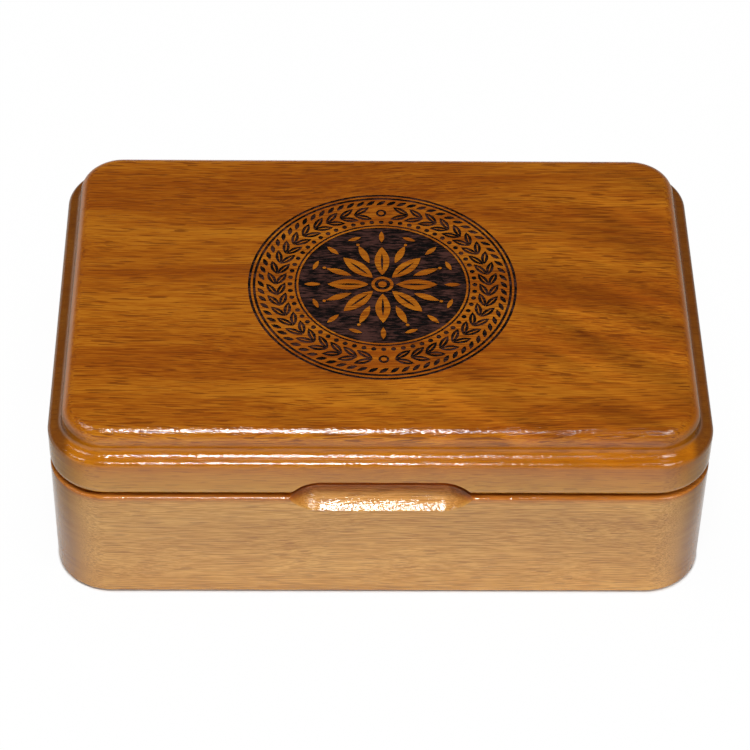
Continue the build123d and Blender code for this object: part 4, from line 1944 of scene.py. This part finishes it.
class Hardware:
    """Hinges, screws, magnets and boards, whose CAD shapes stay in view."""

    def build(self) -> None:
        """Dress the CAD nodes."""
        finishes = (HINGE_BRASS, PIN_BRASS, SCREW_BRASS, NICKEL, CARD)
        brass, pin, screw, nickel, card = (finish.material() for finish in finishes)
        for side in ("left", "right"):
            for body in Body:
                dress_node(f"hinge_leaf_{body.value}_{side}", brass)
            dress_node(f"hinge_pin_{side}", pin)
        for body in Body:
            dress_node(f"hinge_screws_{body.value}", screw)
            dress_node(f"magnets_{body.value}", nickel)
        dress_node("insert_board", card)
        dress_node("lid_board", card)


# ---- Studio ----------------------------------------------------------------------------------


@dataclass(frozen=True)
class Lamp:
    """A soft area lamp, with its place and sizes in metres.

    Attributes:
        name: The lamp's name.
        place: Where it hangs.
        size: Width and height of its face.
        radiance: How bright its face is.
        aim: What it faces.
        mirrored: Whether gloss shows it.
    """

    name: str
    place: Triple
    size: Point
    radiance: float
    aim: Triple = (0.0, 0.0, 0.03)
    mirrored: bool = True

    def build(self) -> None:
        """Hang the lamp."""
        data = bpy.data.lights.new(self.name, "AREA")
        data.shape = "RECTANGLE"
        data.size, data.size_y = self.size
        data.energy = self.radiance * math.pi * self.size[0] * self.size[1]
        lamp = bpy.data.objects.new(self.name, data)
        lamp.location = self.place
        lamp.visible_glossy = self.mirrored
        back = (Vector(self.place) - Vector(self.aim)).normalized()
        across = Vector((0, 1, 0)).cross(back).normalized()
        axes = Matrix((across, back.cross(across), back)).transposed()
        lamp.rotation_mode = "QUATERNION"
        lamp.rotation_quaternion = axes.to_quaternion()
        bpy.context.scene.collection.objects.link(lamp)
        LOG.info("lamp %s", self.name)


@dataclass(frozen=True)
class Studio:
    """Camera, lamps, white floor and a pale surround.

    Attributes:
        foot: The case's outline on the floor.
        azimuth: Where the camera stands, in degrees from the front.
        elevation: How high it looks down from, in degrees.
        roll: Its roll, in degrees.
        distance: Its distance, in metres.
        aim_z: Height that it looks at, in metres.
        focal_px: Its focal length, in pixels of the frame.
        centre_px: Where its axis meets the frame.
        frame_px: The frame's side.
        sensor: Width of its sensor.
        floor_radii: Radii of the floor's rings.
        line_edge: Start and end of the dark line's outer edge, from the foot's corner centres.
        shadow_edge: Start and end of the soft shadow's edge, from the same centres.
        gloss_edge: Where gloss starts to see white paper, from the same centres.
        side_x: Where the darker paper beside the short ends comes in.
        side_left: Where it ends again, on the left.
        ceiling: Brightness of the surround overhead.
        horizon_gain: What the horizon adds to that.
        front_gain: What the front adds.
        left_glow: The colour that the left adds.
        backdrop: The surround's colour in view.
    """

    foot: Outline
    azimuth: float = -1.65
    elevation: float = 45.13
    roll: float = 1.358
    distance: float = 0.8271
    aim_z: float = 0.0252
    focal_px: float = 2876.0
    centre_px: Point = (377.62, 374.87)
    frame_px: float = 750.0
    sensor: float = 36.0
    floor_radii: tuple[float, ...] = (20.0, 200.0, 500.0, 1200.0, 4000.0)
    line_edge: Point = (15.9, 16.5)
    shadow_edge: Point = (17.0, 40.0)
    gloss_edge: Point = (16.5, 28.0)
    side_x: Point = (88.0, 125.0)
    side_left: Point = (180.0, 300.0)
    ceiling: float = 0.035
    horizon_gain: float = 0.14
    front_gain: float = 0.45
    left_glow: Colour = (0.5, 0.5, 0.36)
    backdrop: Colour = (0.97, 0.97, 0.97)

    def camera(self) -> None:
        """Set the camera up."""
        turn, lift, roll = (math.radians(x) for x in (self.azimuth, self.elevation, self.roll))
        back = Vector((math.sin(turn) * math.cos(lift), -math.cos(turn) * math.cos(lift), math.sin(lift)))
        right = (-back).cross(Vector((0, 0, 1))).normalized()
        up = right.cross(-back)
        right_rolled = right * math.cos(roll) + up * math.sin(roll)
        up_rolled = up * math.cos(roll) - right * math.sin(roll)
        data = bpy.data.cameras.new("camera")
        data.sensor_width = self.sensor
        data.lens = self.focal_px / self.frame_px * self.sensor
        data.shift_x = (self.frame_px / 2 - self.centre_px[0]) / self.frame_px
        data.shift_y = (self.centre_px[1] - self.frame_px / 2) / self.frame_px
        camera = bpy.data.objects.new("camera", data)
        place = back * self.distance + Vector((0, 0, self.aim_z))
        axes = Matrix((right_rolled, up_rolled, back)).transposed()
        camera.matrix_world = Matrix.Translation(place) @ axes.to_4x4()
        bpy.context.scene.collection.objects.link(camera)
        bpy.context.scene.camera = camera

    def floor(self) -> None:
        """Lay a wide round white floor that keeps a soft shadow."""
        bm = bmesh.new()
        rings = []
        for radius in self.floor_radii:
            rings.append([Vector((x, y, 0.0)) for x, y in oval(radius, radius, 64)])
        rows = loft(bm, rings)
        bm.faces.new(rows[0])
        piece = to_object(bm, "floor")
        dress(piece, self._paper())

    def _paper(self) -> bpy.types.Material:
        """Build the floor's finish: white in view and in gloss, but for a line round the case's foot.

        Other light sees grey paper, and warmer, darker paper beside the short ends.

        Returns:
            The material.
        """
        graph = Graph.of_new("white_floor")
        kinds = ("Camera", "Glossy", "Transmission")
        seen, glossy, through = (graph.node("ShaderNodeLightPath", output=f"Is {kind} Ray") for kind in kinds)
        place = graph.place()
        apart = [graph.maths("ABSOLUTE", graph.part(place, axis)) for axis in (0, 1)]
        cores = (self.foot.half_x - self.foot.corner, self.foot.half_y - self.foot.corner)
        beyond = [graph.maths("MAXIMUM", far - core) for far, core in zip(apart, cores)]
        out = graph.maths("SQRT", beyond[0] * beyond[0] + beyond[1] * beyond[1])
        off_line, off_shadow = graph.step(out, *self.line_edge), graph.step(out, *self.shadow_edge)
        clear = 0.1 + off_line * 0.86 + off_shadow * 0.03
        leftward = graph.part(place, 0) * -1.0
        aside = graph.step(apart[0], *self.side_x) * (1.0 - graph.step(leftward, *self.side_left))
        mirrored = (glossy + through) * (1.0 - aside * 0.7) * graph.step(out, *self.gloss_edge)
        shade_colour = graph.mix(aside * (1.0 - seen), (0.86, 0.86, 0.86), (0.42, 0.38, 0.27))
        paper = graph.node("ShaderNodeBsdfDiffuse", None, {"Color": shade_colour})
        white = graph.node("ShaderNodeEmission", None, {"Color": WHITE, "Strength": 1.0})
        both = graph.node("ShaderNodeMixShader", None, {0: (seen + mirrored) * clear, 1: paper, 2: white})
        graph.node("ShaderNodeOutputMaterial", None, {"Surface": both})
        return graph.owner

    def surround(self) -> None:
        """Make the world: a pale horizon, brighter in front and to the left, under a dim ceiling."""
        world = bpy.data.worlds.new("surround")
        bpy.context.scene.world = world
        graph = Graph(world)
        direction = graph.node("ShaderNodeTexCoord", output="Generated")
        x, y, height = (graph.part(direction, axis) for axis in range(3))
        horizon = 1.0 - graph.step(height, 0.08, 0.36)
        front = (1.0 - graph.step(y, -0.85, -0.25)) * (1.0 - graph.step(height, 0.27, 0.42))
        left = (1.0 - graph.step(x, -0.7, -0.45)) * (1.0 - graph.step(height, 0.16, 0.32))
        level = self.ceiling + horizon * self.horizon_gain + front * self.front_gain
        level = level + graph.mix(left, (0.0, 0.0, 0.0), self.left_glow)
        seen = graph.node("ShaderNodeLightPath", output="Is Camera Ray")
        sky_colour = graph.mix(seen, level, self.backdrop)
        sky = graph.node("ShaderNodeBackground", None, {"Color": sky_colour, "Strength": 1.0})
        graph.node("ShaderNodeOutputWorld", None, {"Surface": sky})

    def build(self) -> None:
        """Set the whole studio up."""
        bpy.context.scene.view_settings.view_transform = "Standard"
        self.camera()
        self.floor()
        self.surround()
        lamps = (
            Lamp("front_strip", (-0.041, -0.38, 0.953), (0.15, 0.26), 53.0, aim=(-0.041, -0.05, 0.05)),
            Lamp("left_key", (-0.55, -0.13, 0.93), (0.25, 0.25), 7.5),
            Lamp("right_key", (0.42, -0.5, 0.88), (0.3, 0.3), 11.0),
            Lamp("back_fill", (-0.2, 1.0, 0.45), (0.5, 0.5), 3.0, mirrored=False),
        )
        for lamp in lamps:
            lamp.build()


def main() -> None:
    """Build the case's looks round the frame, piece by piece."""
    logging.basicConfig(level=logging.INFO, format="%(name)s: %(message)s")
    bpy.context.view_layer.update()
    low, high = box_mm("case_body")
    outer = Outline((high.x - low.x) / 2, (high.y - low.y) / 2, corner=16.0)
    inner = Outline(half_x=78.0, half_y=48.5, corner=6.0)
    fittings = SeamFittings()
    CaseBody(outer, inner, fittings).build()
    Lid(outer, inner, fittings, Roundel()).build()
    BaseFelt(outer).build()
    floor = SoftSlab("velvet_floor", "floor_lining", inner, inset=0.1, ease=0.3, slot="velvet", fill=0.2)
    floor.build(VELVET.material())
    foam = SoftSlab("foam_block", "foam_riser", inner, inset=1.9, ease=0.6, slot="foam", fill=0.9)
    foam.build(FOAM.material())
    WallLining(inner).build()
    cushion = BadgeInsert(inner).build()
    PullRibbon().build(cushion)
    LidLining(inner).build()
    Hardware().build()
    Studio(outer).build()


if __name__ == "__main__":
    main()
